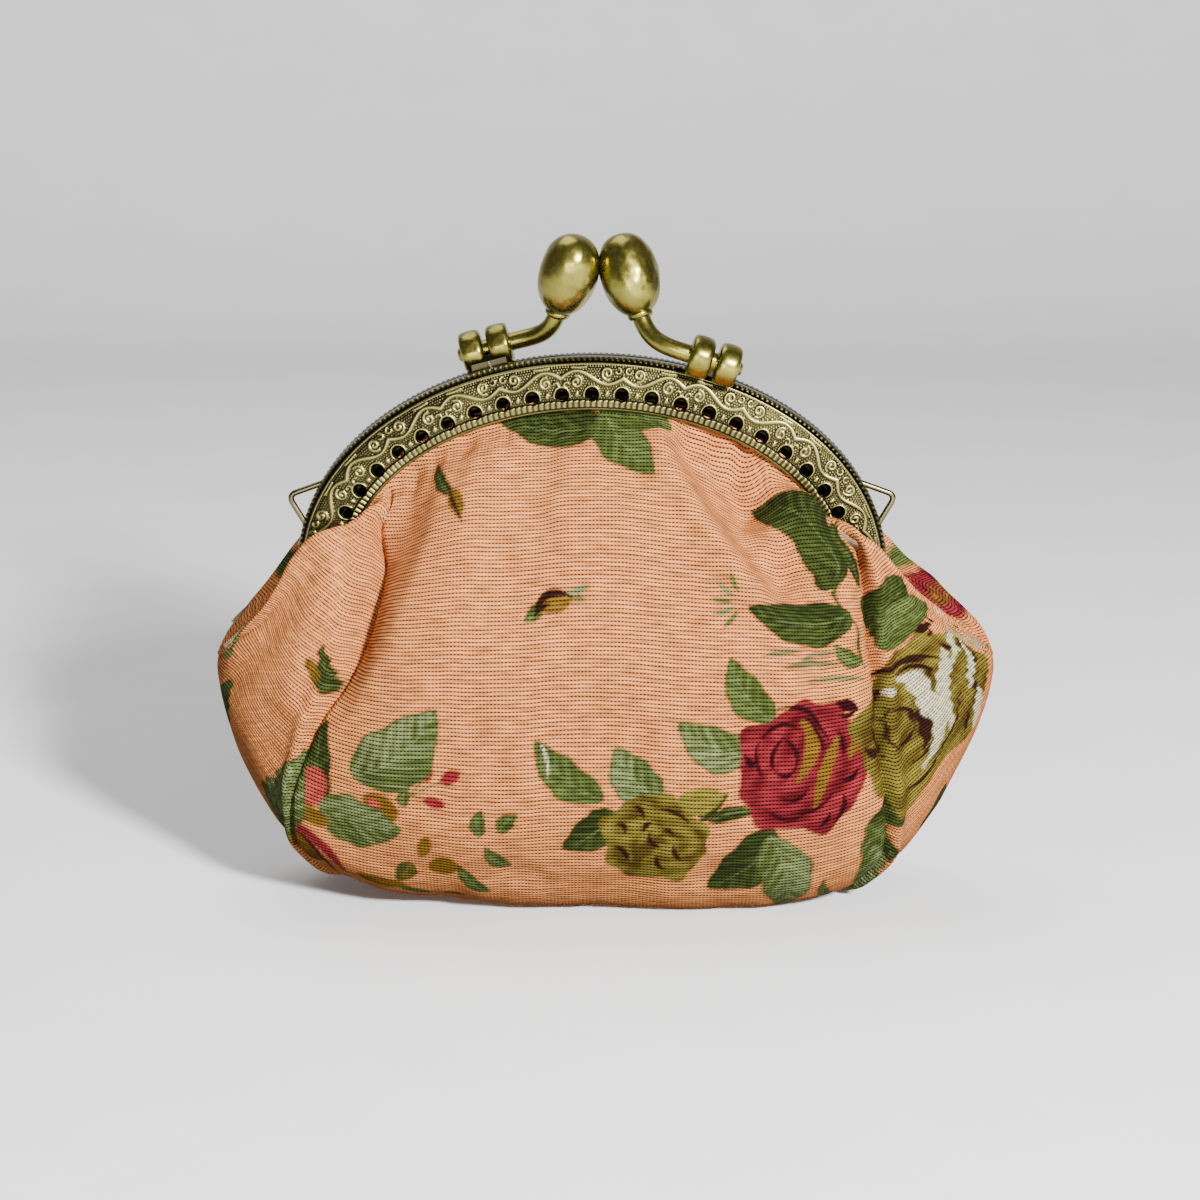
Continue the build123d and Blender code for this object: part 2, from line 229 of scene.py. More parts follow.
# ---------------------------------------------------------------- materials
class Nodes:
    """A short way to write a node material."""

    def __init__(self, name):
        self.material = bpy.data.materials.new(name)
        self.material.use_nodes = True
        self.tree = self.material.node_tree
        self.shader = self.tree.nodes["Principled BSDF"]

    def add(self, kind, **settings):
        node = self.tree.nodes.new(kind)
        for key, value in settings.items():
            if key in node.inputs:
                node.inputs[key].default_value = value
            else:
                setattr(node, key, value)
        return node

    def link(self, source, target):
        self.tree.links.new(source, target)

    def set(self, **values):
        for key, value in values.items():
            self.shader.inputs[key.replace("_", " ")].default_value = value

    def maths(self, operation, first, second=None, third=None, clamp=False):
        node = self.add("ShaderNodeMath", operation=operation, use_clamp=clamp)
        for socket, value in zip(node.inputs, (first, second, third)):
            if value is None:
                continue
            if isinstance(value, (int, float)):
                socket.default_value = value
            else:
                self.link(value, socket)
        return node.outputs[0]

    def mix(self, factor, first, second, blend="MIX"):
        node = self.add("ShaderNodeMix", data_type="RGBA", blend_type=blend)
        for socket, value in zip((node.inputs[0], node.inputs[6], node.inputs[7]), (factor, first, second)):
            if isinstance(value, (int, float)):
                socket.default_value = value
            elif isinstance(value, tuple):
                socket.default_value = (*value, 1.0)
            else:
                self.link(value, socket)
        return node.outputs[2]

    def noise(self, scale, detail=3.0, roughness=0.55, vector=None):
        node = self.add("ShaderNodeTexNoise", Scale=scale, Detail=detail, Roughness=roughness)
        coordinates = vector or self.add("ShaderNodeTexCoord").outputs["Object"]
        self.link(coordinates, node.inputs["Vector"])
        return node.outputs["Fac"]

    def ramp(self, value, *stops):
        node = self.add("ShaderNodeValToRGB")
        ramp = node.color_ramp
        for stop, (place, colour) in zip(ramp.elements, stops[:2]):
            stop.position = place
            stop.color = (*colour, 1.0)
        for place, colour in stops[2:]:
            ramp.elements.new(place).color = (*colour, 1.0)
        self.link(value, node.inputs[0])
        return node.outputs[0]

    def bump(self, height, strength, distance, normal=None):
        node = self.add("ShaderNodeBump", Strength=strength, Distance=distance)
        self.link(height, node.inputs["Height"])
        if normal is not None:
            self.link(normal, node.inputs["Normal"])
        return node.outputs["Normal"]


def weave(nodes, pitch, row_pitch):
    """Height and slub of a plain weave whose rows stand out, on texture coordinates in millimetres."""
    uv = nodes.add("ShaderNodeUVMap", uv_map="UVMap").outputs[0]
    split = nodes.add("ShaderNodeSeparateXYZ")
    wander = nodes.add("ShaderNodeTexNoise", Scale=0.4, Detail=2.0)
    nodes.link(uv, wander.inputs["Vector"])
    nodes.link(uv, split.inputs[0])
    drift = nodes.maths("MULTIPLY", nodes.maths("SUBTRACT", wander.outputs["Fac"], 0.5), 0.35)
    across = nodes.maths("ADD", nodes.maths("DIVIDE", split.outputs[0], pitch), drift)
    along = nodes.maths("ADD", nodes.maths("DIVIDE", split.outputs[1], row_pitch), drift)

    def thread(position):
        return nodes.maths("ABSOLUTE", nodes.maths("SINE", nodes.maths("MULTIPLY", position, np.pi)))

    rows, columns = thread(along), thread(across)
    row_crown = nodes.maths("POWER", rows, 0.6)
    height = nodes.maths("MULTIPLY", row_crown, nodes.maths("MULTIPLY_ADD", columns, 0.35, 0.65))
    gap = nodes.maths("SUBTRACT", 1.0, nodes.maths("DIVIDE", rows, 0.88), clamp=True)
    dash = nodes.maths("MULTIPLY_ADD", columns, 2.2, -0.5, clamp=True)
    seam = nodes.maths("MULTIPLY_ADD", columns, -0.9, 0.32, clamp=True)
    hole = nodes.maths("MAXIMUM", nodes.maths("MULTIPLY", gap, dash, clamp=True), seam)
    slub = nodes.add("ShaderNodeTexNoise", Scale=1.0, Detail=3.0)
    stretch = nodes.add("ShaderNodeMapping")
    stretch.inputs["Scale"].default_value = (0.30, 1.5, 1.0)
    nodes.link(uv, stretch.inputs["Vector"])
    nodes.link(stretch.outputs[0], slub.inputs["Vector"])
    return height, hole, slub.outputs["Fac"]


def cloth_material(name, ground=None, pitch=WEAVE_PITCH, row_pitch=WEAVE_ROW):
    """Coarse plain weave. The ground colour is the mesh's own print, or one plain colour."""
    nodes = Nodes(name)
    height, hole, slub = weave(nodes, pitch, row_pitch)
    if ground is None:
        base = nodes.add("ShaderNodeAttribute", attribute_name="print").outputs["Color"]
    else:
        base = ground
    shade = nodes.ramp(hole, (0.05, (0.84, 0.84, 0.84)), (0.62, (0.045, 0.034, 0.034)))
    threads = nodes.ramp(slub, (0.34, (0.64, 0.61, 0.60)), (0.64, (1.12, 1.12, 1.12)))
    colour = nodes.mix(1.0, base, shade, "MULTIPLY")
    colour = nodes.mix(1.0, colour, threads, "MULTIPLY")
    nodes.link(colour, nodes.shader.inputs["Base Color"])
    nodes.set(Roughness=0.95, Sheen_Weight=0.0, Specular_IOR_Level=0.04)
    fibre = nodes.noise(2600.0, 2.0)
    relief = nodes.maths("ADD", height, nodes.maths("MULTIPLY", slub, 0.6))
    normal = nodes.bump(relief, 0.8, 0.00016)
    normal = nodes.bump(fibre, 0.25, 0.00004, normal)
    nodes.link(normal, nodes.shader.inputs["Normal"])
    return nodes.material


def brass_material(name, cavity=False, bright=(0.205, 0.182, 0.060), dark=(0.006, 0.005, 0.002)):
    """Antiqued brass: bright where handling rubs it, dark where the patina stays."""
    nodes = Nodes(name)
    blotch = nodes.noise(170.0, 4.0)
    fine = nodes.noise(1500.0, 3.0)
    if cavity:
        worn = nodes.add("ShaderNodeAttribute", attribute_name="cavity").outputs["Fac"]
        patches = nodes.maths("MULTIPLY", nodes.maths("SUBTRACT", blotch, 0.5), 0.5)
        wear_colour = nodes.ramp(
            nodes.maths("ADD", worn, patches), (0.12, dark), (0.92, bright), (0.5, (0.056, 0.048, 0.018))
        )
        nodes.set(Roughness=0.33)
    else:
        tone = nodes.maths("MULTIPLY_ADD", fine, 0.25, nodes.maths("MULTIPLY", blotch, 0.85))
        middle = tuple(0.5 * c for c in bright)
        wear_colour = nodes.ramp(tone, (0.32, middle), (0.66, bright))
        nodes.link(nodes.maths("MULTIPLY_ADD", fine, 0.16, 0.20), nodes.shader.inputs["Roughness"])
    nodes.link(wear_colour, nodes.shader.inputs["Base Color"])
    nodes.set(Metallic=1.0)
    nodes.link(nodes.bump(fine, 0.2, 0.00003), nodes.shader.inputs["Normal"])
    return nodes.material


def paper_material():
    """Twisted paper cord."""
    nodes = Nodes("paper_cord")
    tone = nodes.noise(900.0, 3.0)
    nodes.link(
        nodes.ramp(tone, (0.3, (0.42, 0.33, 0.20)), (0.7, (0.62, 0.52, 0.36))),
        nodes.shader.inputs["Base Color"],
    )
    nodes.link(nodes.bump(tone, 0.4, 0.0001), nodes.shader.inputs["Normal"])
    nodes.set(Roughness=0.9)
    return nodes.material


PINK = (0.82, 0.305, 0.098)
CLOTH = cloth_material("printed_cloth")
LINING = cloth_material("lining_cloth", (0.45, 0.33, 0.18), 0.32, 0.34)
BRASS_FRAME = brass_material("antique_brass_embossed", cavity=True)
BRASS_CLASP = brass_material("antique_brass_polished", bright=(0.25, 0.22, 0.046))
BRASS_DARK = brass_material("antique_brass_dull", bright=(0.14, 0.12, 0.055))
# Brass of the clasp saddle, painted near black: a real foot, coloured as painted shade under the collars.
BRASS_FOOT_SHADE = brass_material("antique_brass_painted_shade", bright=(0.030, 0.026, 0.014))
PAPER = paper_material()


def paint(obj, material):
    """Gives an object one material."""
    obj.data.materials.clear()
    obj.data.materials.append(material)
    return obj


# ---------------------------------------------------------------- embossed frame
def arch_table(count):
    """Points and outward directions at even steps along the rim, from the left foot to the right."""
    foot = np.arcsin(FOOT_LIFT / ARCH_B)
    angle = np.linspace(np.pi - foot, foot, 4000)
    x, z = ARCH_A * np.cos(angle), ARCH_B * np.sin(angle)
    length = np.concatenate([[0], np.cumsum(np.hypot(np.diff(x), np.diff(z)))])
    even = np.linspace(0, length[-1], count)
    angle = np.interp(even, length, angle)
    x, z = ARCH_A * np.cos(angle), ARCH_B * np.sin(angle)
    outward = np.stack([x / ARCH_A**2, z / ARCH_B**2], axis=1)
    outward /= np.linalg.norm(outward, axis=1, keepdims=True)
    return np.stack([x, z + HINGE_Z], axis=1), outward, even


def ridge(distance, half_width):
    """A rounded ridge over a line, 1 on the line and 0 beyond its half width."""
    return np.sqrt(np.clip(1 - (distance / half_width) ** 2, 0, 1))


def polyline(x, y, path):
    """Distance from each place to a polyline, and how far along it the nearest point is, from 0 to 1."""
    best, share = np.full(np.shape(x), 1e9), np.zeros(np.shape(x))
    for number, ((x0, y0), (x1, y1)) in enumerate(zip(path[:-1], path[1:])):
        dx, dy = x1 - x0, y1 - y0
        t = np.clip(((x - x0) * dx + (y - y0) * dy) / (dx * dx + dy * dy + 1e-12), 0, 1)
        away = np.hypot(x - x0 - t * dx, y - y0 - t * dy)
        share = np.where(away < best, (number + t) / (len(path) - 1), share)
        best = np.minimum(best, away)
    return best, share


def spiral(centre, start_radius, end_radius, start_angle, turns, count=16):
    """Points of a flat spiral."""
    angle = np.radians(start_angle) + np.linspace(0, 2 * np.pi * turns, count)
    radius = np.linspace(start_radius, end_radius, count)
    return np.stack([centre[0] + radius * np.cos(angle), centre[1] + radius * np.sin(angle)], axis=1)


def scroll_relief(along, inset, pitch):
    """Height of the vine scrollwork, from 0 to 1. along is measured from a sewing hole."""
    period = 2 * pitch
    turn = np.floor(along / period)
    x = along - turn * period
    x = np.where(turn % 2 > 0, period - x, x)
    wave = 2 * np.pi * x / period
    height = ridge((inset - 2.75 - 0.95 * np.sin(wave)) / np.sqrt(1 + (1.2 * np.cos(wave)) ** 2), 0.27)
    crest, trough = 0.25 * period, 0.75 * period
    curls = (
        (spiral((crest, 2.15), 0.95, 0.2, 100, -1.35, 18), 0.24),
        (spiral((trough, 3.35), 0.95, 0.2, -80, -1.35, 18), 0.24),
        (spiral((crest - 1.55, 1.75), 0.42, 0.42, 20, 0.7, 9), 0.17),
        (spiral((trough + 1.5, 3.75), 0.42, 0.42, 200, 0.7, 9), 0.17),
        (np.array([(trough - 1.5, 1.3), (trough - 0.4, 1.35), (trough + 0.7, 1.25)]), 0.17),
    )
    for path, half_width in curls:
        height = np.maximum(height, ridge(polyline(x, inset, path)[0], half_width))
    near = np.abs(along / pitch - np.round(along / pitch)) * pitch
    scallop = ridge(np.abs(np.hypot(near, inset - HOLE_INSET) - 1.22), 0.2) * (inset < HOLE_INSET + 0.4)
    drop = ridge(np.hypot(1.25 * (near - pitch / 2), inset - 5.15), 0.5)
    return np.maximum(height, np.maximum(scallop, drop))


def pebbles(along, inset, pitch=0.40):
    """Rows of tiny round pebbles, from 0 to 1."""
    row = np.floor(inset / (pitch * 0.87))
    shift = 0.5 * (row % 2)
    cx = (np.floor(along / pitch + shift) + 0.5 - shift) * pitch
    cy = (row + 0.5) * pitch * 0.87
    return ridge(np.hypot(along - cx, inset - cy), 0.19)


def frame_section():
    """Outer skin of the front half's section as (inset, depth), then the inner skin back again."""
    outer = [(5.6, 0.15), (3.0, 0.15), (0.55, 0.15), (0.16, 0.24), (0.02, 0.5), (0.0, 0.85)]
    outer += [(0.03, 1.35), (0.22, 1.95), (0.65, 2.5), (1.3, 2.88), (2.4, 3.16), (3.9, 3.32)]
    outer += [(5.4, 3.38), (6.6, 3.36), (7.15, 3.28), (7.3, 3.1)]
    inner = [(7.22, 2.84), (5.4, 2.88), (3.9, 2.82), (2.4, 2.66), (1.5, 2.42), (0.9, 2.0)]
    inner += [(0.55, 1.4), (0.52, 0.8), (0.8, 0.65), (3.0, 0.65), (5.55, 0.65), (5.68, 0.4)]
    return np.array(outer), np.array(inner)


def resampled(points, step):
    """A polyline of even steps through points, smoothed a little."""
    length = np.concatenate([[0], np.cumsum(np.linalg.norm(np.diff(points, axis=0), axis=1))])
    count = max(2, int(round(length[-1] / step)) + 1)
    return hermite(length, points, np.linspace(0, length[-1], count))


def build_frame_half(side, name, detail):
    """The embossed channel of one half. side is -1 for the front and 1 for the rear."""
    outer, inner = frame_section()
    outer, inner = resampled(outer, detail), resampled(inner, 0.3)
    rim, outward, length = arch_table(int(112 / detail))
    total = length[-1]
    section = np.concatenate([outer, inner])
    inset, depth = section[:, 0], section[:, 1]
    share = length / total
    cells = (share - HOLE_END_SHARE) / (1 - 2 * HOLE_END_SHARE) * (HOLE_COUNT - 1)
    cell = cells - np.round(cells)
    pitch = total * (1 - 2 * HOLE_END_SHARE) / (HOLE_COUNT - 1)
    on_holes = (np.round(cells) >= 0) & (np.round(cells) <= HOLE_COUNT - 1)

    cell_grid = np.repeat(cell[None], len(section), axis=0)
    along = np.repeat(length[None], len(section), axis=0)
    inset_grid = np.repeat(inset[:, None], len(length), axis=1)
    depth_grid = np.repeat(depth[:, None], len(length), axis=1)
    is_outer = (np.arange(len(section)) < len(outer))[:, None] & (depth_grid > 0.45)
    face = is_outer & (depth_grid > 2.0)

    scroll = scroll_relief(cells[None] * pitch, inset_grid, pitch)
    scroll_zone = smooth(0.95, 1.1, inset_grid) * (1 - smooth(5.75, 5.9, inset_grid))
    ground = 0.55 * pebbles(along, inset_grid)
    relief = np.maximum(scroll, ground) * scroll_zone
    rib = 0.8 * np.abs(np.sin(np.pi * along / RIB_PITCH)) ** 0.5
    rib_zone = smooth(5.95, 6.05, inset_grid) * (1 - smooth(7.0, 7.1, inset_grid))
    relief = np.maximum(relief, rib * rib_zone)
    relief = np.maximum(relief, smooth(7.1, 7.2, inset_grid))
    bead_depth = np.abs(depth_grid - 1.9)
    bead_wave = np.abs(np.sin(np.pi * along / BEAD_PITCH))
    beads = ridge(bead_depth, 0.45) * bead_wave * (inset_grid < 0.9)
    border = 0.85 * ridge(np.abs(inset_grid - 0.92), 0.16)
    relief = np.where(face | (is_outer & (inset_grid < 0.9)), np.maximum(relief, beads), 0)
    relief = np.where(face, np.maximum(relief, border), relief)

    from_hole = cell_grid * pitch * (1 - HOLE_INSET / 40)
    hole_radius = np.hypot(from_hole, inset_grid - HOLE_INSET)
    hole_radius = np.where(on_holes[None], hole_radius, 9.0)
    hole_zone = face | ((np.arange(len(section)) >= len(outer))[:, None] & (depth_grid > 2.0))
    lip = np.where(face, 1 - smooth(HOLE_RADIUS, HOLE_RADIUS + 0.3, hole_radius), 0)
    height = RELIEF_HEIGHT * relief * (1 - lip) - LIP_DEPTH * lip
    edge = hole_zone & (np.abs(hole_radius - HOLE_RADIUS) < 0.55 * detail)
    push = np.where(edge, HOLE_RADIUS / np.maximum(hole_radius, 0.1) - 1, 0)
    inside = hole_zone & (hole_radius < HOLE_RADIUS) & ~edge
    inset_grid = inset_grid + push * (inset_grid - HOLE_INSET)
    slide = push * from_hole

    direction = np.gradient(section, axis=0)
    normal = np.stack([-direction[:, 1], direction[:, 0]], axis=1)
    normal /= np.linalg.norm(normal, axis=1, keepdims=True)
    inset_grid = inset_grid + normal[:, :1] * height
    depth_grid = depth_grid + normal[:, 1:] * height
    points = np.empty((len(section), len(length), 3))
    points[..., 0] = rim[None, :, 0] - outward[None, :, 0] * inset_grid + outward[None, :, 1] * slide
    points[..., 1] = side * depth_grid
    points[..., 2] = rim[None, :, 1] - outward[None, :, 1] * inset_grid - outward[None, :, 0] * slide

    rows, columns = len(section), len(length)
    faces = grid_faces(rows, columns, wrap_rows=True, flip=side > 0)
    faces = faces[~inside.ravel()[faces].any(axis=1)]
    faces = [list(f) for f in faces]
    left_cap = [r * columns for r in range(rows)]
    right_cap = [r * columns + columns - 1 for r in range(rows)]
    faces.append(left_cap if side > 0 else left_cap[::-1])
    faces.append(right_cap[::-1] if side > 0 else right_cap)
    cavity = np.where(is_outer, np.clip(0.05 + 0.95 * relief - 0.9 * lip, 0, 1), 0.2)
    cavity = np.where(is_outer & (relief <= 0.01) & ~face, 0.45, cavity)
    layers = {"cavity": cavity.reshape(-1, 1).repeat(3, axis=1)}
    return paint(new_mesh(name, points.reshape(-1, 3), faces, layers), BRASS_FRAME)


def build_ears(side, name):
    """The two hinge ears of a half, as rounded plates that run up to the feet of its channel."""
    foot_x = ARCH_A * np.cos(np.arcsin(FOOT_LIFT / ARCH_B))
    outside = foot_x - (0.0 if side < 0 else SHEET + 0.1)
    plates = []
    for side_x in (-1, 1):
        angle = np.linspace(0, 2 * np.pi, 40, endpoint=False)
        outline = [(2.2 * np.cos(a), HINGE_Z + 2.2 * np.sin(a)) for a in angle]
        strip = [(side * 0.3, HINGE_Z), (side * 2.0, HINGE_Z)]
        strip += [(side * 2.0, HINGE_Z + 3.5), (side * 0.3, HINGE_Z + 3.5)]
        for shape in (outline, strip):
            count = len(shape)
            points = [(side_x * outside, y, z) for y, z in shape]
            points += [(side_x * (outside - SHEET), y, z) for y, z in shape]
            faces = [list(range(count)), [count + i for i in range(count)][::-1]]
            faces += [[i, count + i, count + (i + 1) % count, (i + 1) % count] for i in range(count)]
            plates.append(new_mesh(f"{name}_{side_x}_{count}", points, faces, flat=True))
    ears = join(name, plates)
    return paint(ears, BRASS_DARK)


# ---------------------------------------------------------------- clasp
KNOB_RADIUS = 4.1
KNOB_HALF_LENGTH = 6.0
COLLAR_RADIUS = 3.0
COLLAR_LENGTH = 3.3
COLLAR_PITCH = 4.0
ARM_RADIUS = 1.3


def unit(vector):
    return np.asarray(vector, float) / np.linalg.norm(vector)


class Clasp:
    """Places of one clasp half, laid out on the front; the rear one is turned half round."""

    def __init__(self, side):
        self.side = side
        shift = -side * 1.0
        x = 15.6 + shift
        rise = ARCH_B * np.sqrt(1 - (x / ARCH_A) ** 2)
        self.rim = np.array([x, 0, HINGE_Z + rise])
        self.outward = unit((x / ARCH_A**2, 0, rise / ARCH_B**2))
        self.along = np.array([self.outward[2], 0, -self.outward[0]])
        self.collar = self.rim + self.outward * 2.2 + np.array([0, -4.1, 0])
        tilt_x, tilt_y = np.radians(15), np.radians(14)
        self.axis = unit((-np.sin(tilt_x), np.sin(tilt_y), np.cos(tilt_x) * np.cos(tilt_y)))
        self.middle = np.array([4.34 + shift, 0, 91.0])
        self.foot = self.middle - self.axis * (KNOB_HALF_LENGTH - 0.25)

    def turned(self, points):
        points = np.asarray(points, float)
        return points * (-1, -1, 1) if self.side > 0 else points

    def knob(self, name):
        """An egg-shaped knob, a little fuller towards its top."""
        polar = np.linspace(0.001, np.pi - 0.001, 60)
        height = -np.cos(polar) * KNOB_HALF_LENGTH
        fullness = 1 + 0.05 * (height / KNOB_HALF_LENGTH)
        radius = np.sin(polar) ** 0.84 * (KNOB_RADIUS + 0.12) * fullness
        profile = np.stack([height, radius], axis=1)
        egg = revolved(name, profile, self.turned(self.middle), self.turned(self.axis), 96, wobble=0.035)
        return paint(egg, BRASS_CLASP)

    def arm(self, name):
        """The rod through the collars, bent up to the knob, with the ferrule at its top."""
        reach = (COLLAR_PITCH + COLLAR_LENGTH) / 2
        start = self.collar + self.along * (reach + 0.5)
        leave = self.collar - self.along * (reach + 0.1)
        bend = 4.2
        t = np.linspace(0, 1, 40)[:, None]
        p1, p2 = leave - self.along * bend, self.foot - self.axis * bend * 0.9
        curve = (
            (1 - t) ** 3 * leave
            + 3 * (1 - t) ** 2 * t * p1
            + 3 * (1 - t) * t**2 * p2
            + t**3 * (self.foot + self.axis * 0.5)
        )
        path = np.concatenate([np.linspace(start, leave, 20)[:-1], curve])
        radius = np.full(len(path), ARM_RADIUS)
        radius[:3] = ARM_RADIUS * np.array([0.55, 0.85, 0.97])
        rod = tube(name, self.turned(path), radius, 32)
        ring = [(-0.75, 1.2), (-0.7, 1.5), (-0.45, 1.78), (-0.1, 1.85), (0.2, 1.8), (0.35, 1.6), (0.4, 1.0)]
        ferrule = revolved(f"{name}_ferrule", ring, self.turned(self.foot), self.turned(self.axis), 48)
        return paint(join(name, [rod, ferrule]), BRASS_CLASP)

    def base(self, name):
        """Two full ring collars on a low saddle."""
        pieces = []
        for place in (-0.5, 0.5):
            centre = self.collar + self.along * COLLAR_PITCH * place
            angle = np.linspace(-np.pi / 2, np.pi / 2, 24)
            half = COLLAR_LENGTH / 2
            lobe_x = half * np.sign(np.sin(angle)) * np.abs(np.sin(angle)) ** 0.55
            lobe_r = ARM_RADIUS + (COLLAR_RADIUS + 0.1 - ARM_RADIUS) * np.abs(np.cos(angle)) ** 0.42
            profile = np.stack([lobe_x, lobe_r], axis=1)
            places = (self.turned(centre), self.turned(self.along))
            pieces.append(revolved(f"{name}_{place}", profile, *places, 72, wobble=0.05))
        width, low, high = 2.6, 0.9, 3.55
        corners = []
        for lift, margin in ((0.0, 0.0), (0.9, 0.05), (1.6, 0.45)):
            for a, y in ((-1, low), (1, low), (1, high), (-1, high)):
                inward = margin if y == low else -margin
                place = (
                    self.rim
                    + self.outward * (lift - 0.1)
                    + self.along * a * (width - margin)
                    + np.array([0, -(y + inward), 0])
                )
                corners.append(place)
        faces = grid_faces(3, 4, wrap_columns=True).tolist() + [[3, 2, 1, 0], [8, 9, 10, 11]]
        saddle = new_mesh(f"{name}_saddle", self.turned(corners), faces, flat=True)
        # The saddle is painted near black, as painted shade under the collars.
        return paint(join(name, pieces), BRASS_CLASP), paint(saddle, BRASS_FOOT_SHADE)


def build_clasp(side, name, body):
    """Knob, arm and collars of one half, each in place of its CAD node."""
    clasp = Clasp(side)
    makers = {"knob": clasp.knob, "arm": clasp.arm, "base": clasp.base}
    for part, maker in makers.items():
        node = f"{name}_clasp_{part}"
        made = maker(f"vis_{node}")
        for obj in made if isinstance(made, tuple) else (made,):
            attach(obj, body)
            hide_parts(node)
    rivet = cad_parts[f"{name}_clasp_rivet"]
    paint(rivet, BRASS_DARK)


def build_loop(side_x, name):
    """A bent wire loop with both legs in the rim."""
    corners = np.array([(37.0, 61.8), (43.6, 59.4), (40.8, 54.6)])
    first, tip, last = corners
    reach = 1.3
    into = tip + (first - tip) / np.linalg.norm(first - tip) * reach
    away = tip + (last - tip) / np.linalg.norm(last - tip) * reach
    t = np.linspace(0, 1, 14)[:, None]
    bend = (1 - t) ** 2 * into + 2 * (1 - t) * t * tip + t**2 * away
    flat = np.concatenate([[first], np.linspace(first, into, 8)[1:-1], bend])
    flat = np.concatenate([flat, np.linspace(away, last, 8)[1:]])
    path = np.stack([side_x * flat[:, 0], np.full(len(flat), -1.15), flat[:, 1]], axis=1)
    loop = tube(f"vis_{name}", path, 0.43, 20)
    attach(paint(loop, BRASS_DARK), "front_half")
    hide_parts(name)


# ---------------------------------------------------------------- pouch surface
# Guide columns of one quarter, from the centre to the side keel. Each holds stations from the
# edge tucked in the frame, over the fold or bulge and down to the underside, as (x, depth, z).
GUIDES = (
    ((0, 2.0, 73.4), (0, 2.4, 71.6), (0, 6.6, 67.4), (0, 12.6, 60), (0, 16.5, 51), (0, 19.8, 40),
     (0, 21.6, 28), (0, 20.4, 14), (0, 15.5, 4.0), (0, 9.5, 0.25), (0, 0, 0)),
    ((15.7, 2.0, 71.2), (15, 2.4, 69.4), (15.6, 6.3, 65.4), (16.6, 12, 58.5), (17.8, 16.2, 50),
     (19, 19.4, 39.5), (19.6, 21.2, 28), (19.3, 20, 14), (18, 15.2, 4.2), (16, 9.3, 0.4), (12, 0, 0.1)),
    ((27.9, 2.0, 64.9), (27, 2.3, 63.1), (28.2, 6.0, 59.6), (30, 11.2, 53.7), (31.8, 14.8, 46.5),
     (33, 17.6, 38), (33.8, 19.0, 28), (34.2, 18.2, 15), (33.2, 13.6, 5.2), (30, 8.5, 1.1), (24, 0, 0.4)),
    ((31.4, 2.0, 61.1), (30.4, 3.1, 59.9), (32.4, 7.0, 57.4), (34.6, 10.4, 51.5), (36.5, 13.2, 44.5),
     (37.8, 15.2, 37), (39, 16.6, 28), (41, 15.6, 16), (41, 11.6, 7.2), (37.2, 6.8, 2.4), (31, 0, 1.0)),
    ((35.2, 1.8, 55.6), (34.1, 2.9, 54), (39.6, 8.4, 54.2), (41.8, 10, 48.6), (43.4, 11.4, 42.5),
     (44.6, 12.4, 36), (45.7, 12.8, 28), (46, 11.8, 17), (44.6, 8.8, 8.8), (41.2, 5.2, 3.6), (36, 0, 1.6)),
    ((38, 1.4, 51.4), (38.5, 2.6, 50), (46.6, 7.4, 46.8), (48.1, 8.2, 43.2), (49.4, 8.8, 39.5),
     (50.2, 9.0, 35), (50.9, 8.8, 28), (49.5, 7.6, 18.4), (46.8, 5.4, 10.4), (43, 3.2, 5), (39.6, 0, 2.6)),
    ((41, 0.9, 49.8), (42.4, 1.4, 48.4), (52.8, 4.7, 40.4), (53.8, 4.9, 38.6), (54.4, 5, 37),
     (54.6, 4.9, 34), (54.1, 4.6, 28), (51.3, 3.9, 18.8), (47.8, 2.8, 11), (44.4, 1.6, 5.8), (41.6, 0, 3.3)),
    ((42.6, 0, 49.4), (43.8, 0, 47.4), (54.6, 0, 37.4), (55.6, 0, 36.8), (56.1, 0, 35.6),
     (56.3, 0, 33.2), (55.3, 0, 28), (52, 0, 19), (48.4, 0, 11.4), (45.2, 0, 6.4), (42.6, 0, 4)),
)
GUIDE_AT = (0.0, 19.0, 33.0, 38.6, 45.9, 52.6, 58.2, 63.4)
STATION_AT = (0.0, 2.1, 8.0, 16.5, 26.5, 38.0, 50.0, 64.0, 75.0, 82.5, 92.0)
SEAM_AT = 38.6
# How far the left and right seams wander to the right of their guide, down the pouch.
SEAM_ROWS = (0.0, 8.0, 16.0, 30.0, 40.0, 50.0, 56.0, 92.0)
SEAM_SHIFTS = ((1.2, 2.2, 3.0, 1.8, 0.8, -1.8, -2.8, 0.0), (1.6, 3.2, 4.0, 2.2, 2.2, 1.6, 1.2, 0.0))


def quarter(columns, rows):
    """Points of one quarter at distances columns from the centre and rows from the frame."""
    guides = np.array(GUIDES, float)
    mirrored = guides[1:4][::-1] * (-1, 1, 1)
    beyond = guides[-4:-1][::-1] * (1, -1, 1)
    network = np.concatenate([mirrored, guides, beyond])
    at = np.array(GUIDE_AT)
    knots = np.concatenate([-at[1:4][::-1], at, 2 * at[-1] - at[-4:-1][::-1]])
    across = hermite(knots, network, columns)
    down = hermite(STATION_AT, across.transpose(1, 0, 2), rows)
    return down


def bell(x, z, path, width):
    """Bell-shaped weight about a line in the front view."""
    return np.exp(-((polyline(x, z, path)[0] / width) ** 2))


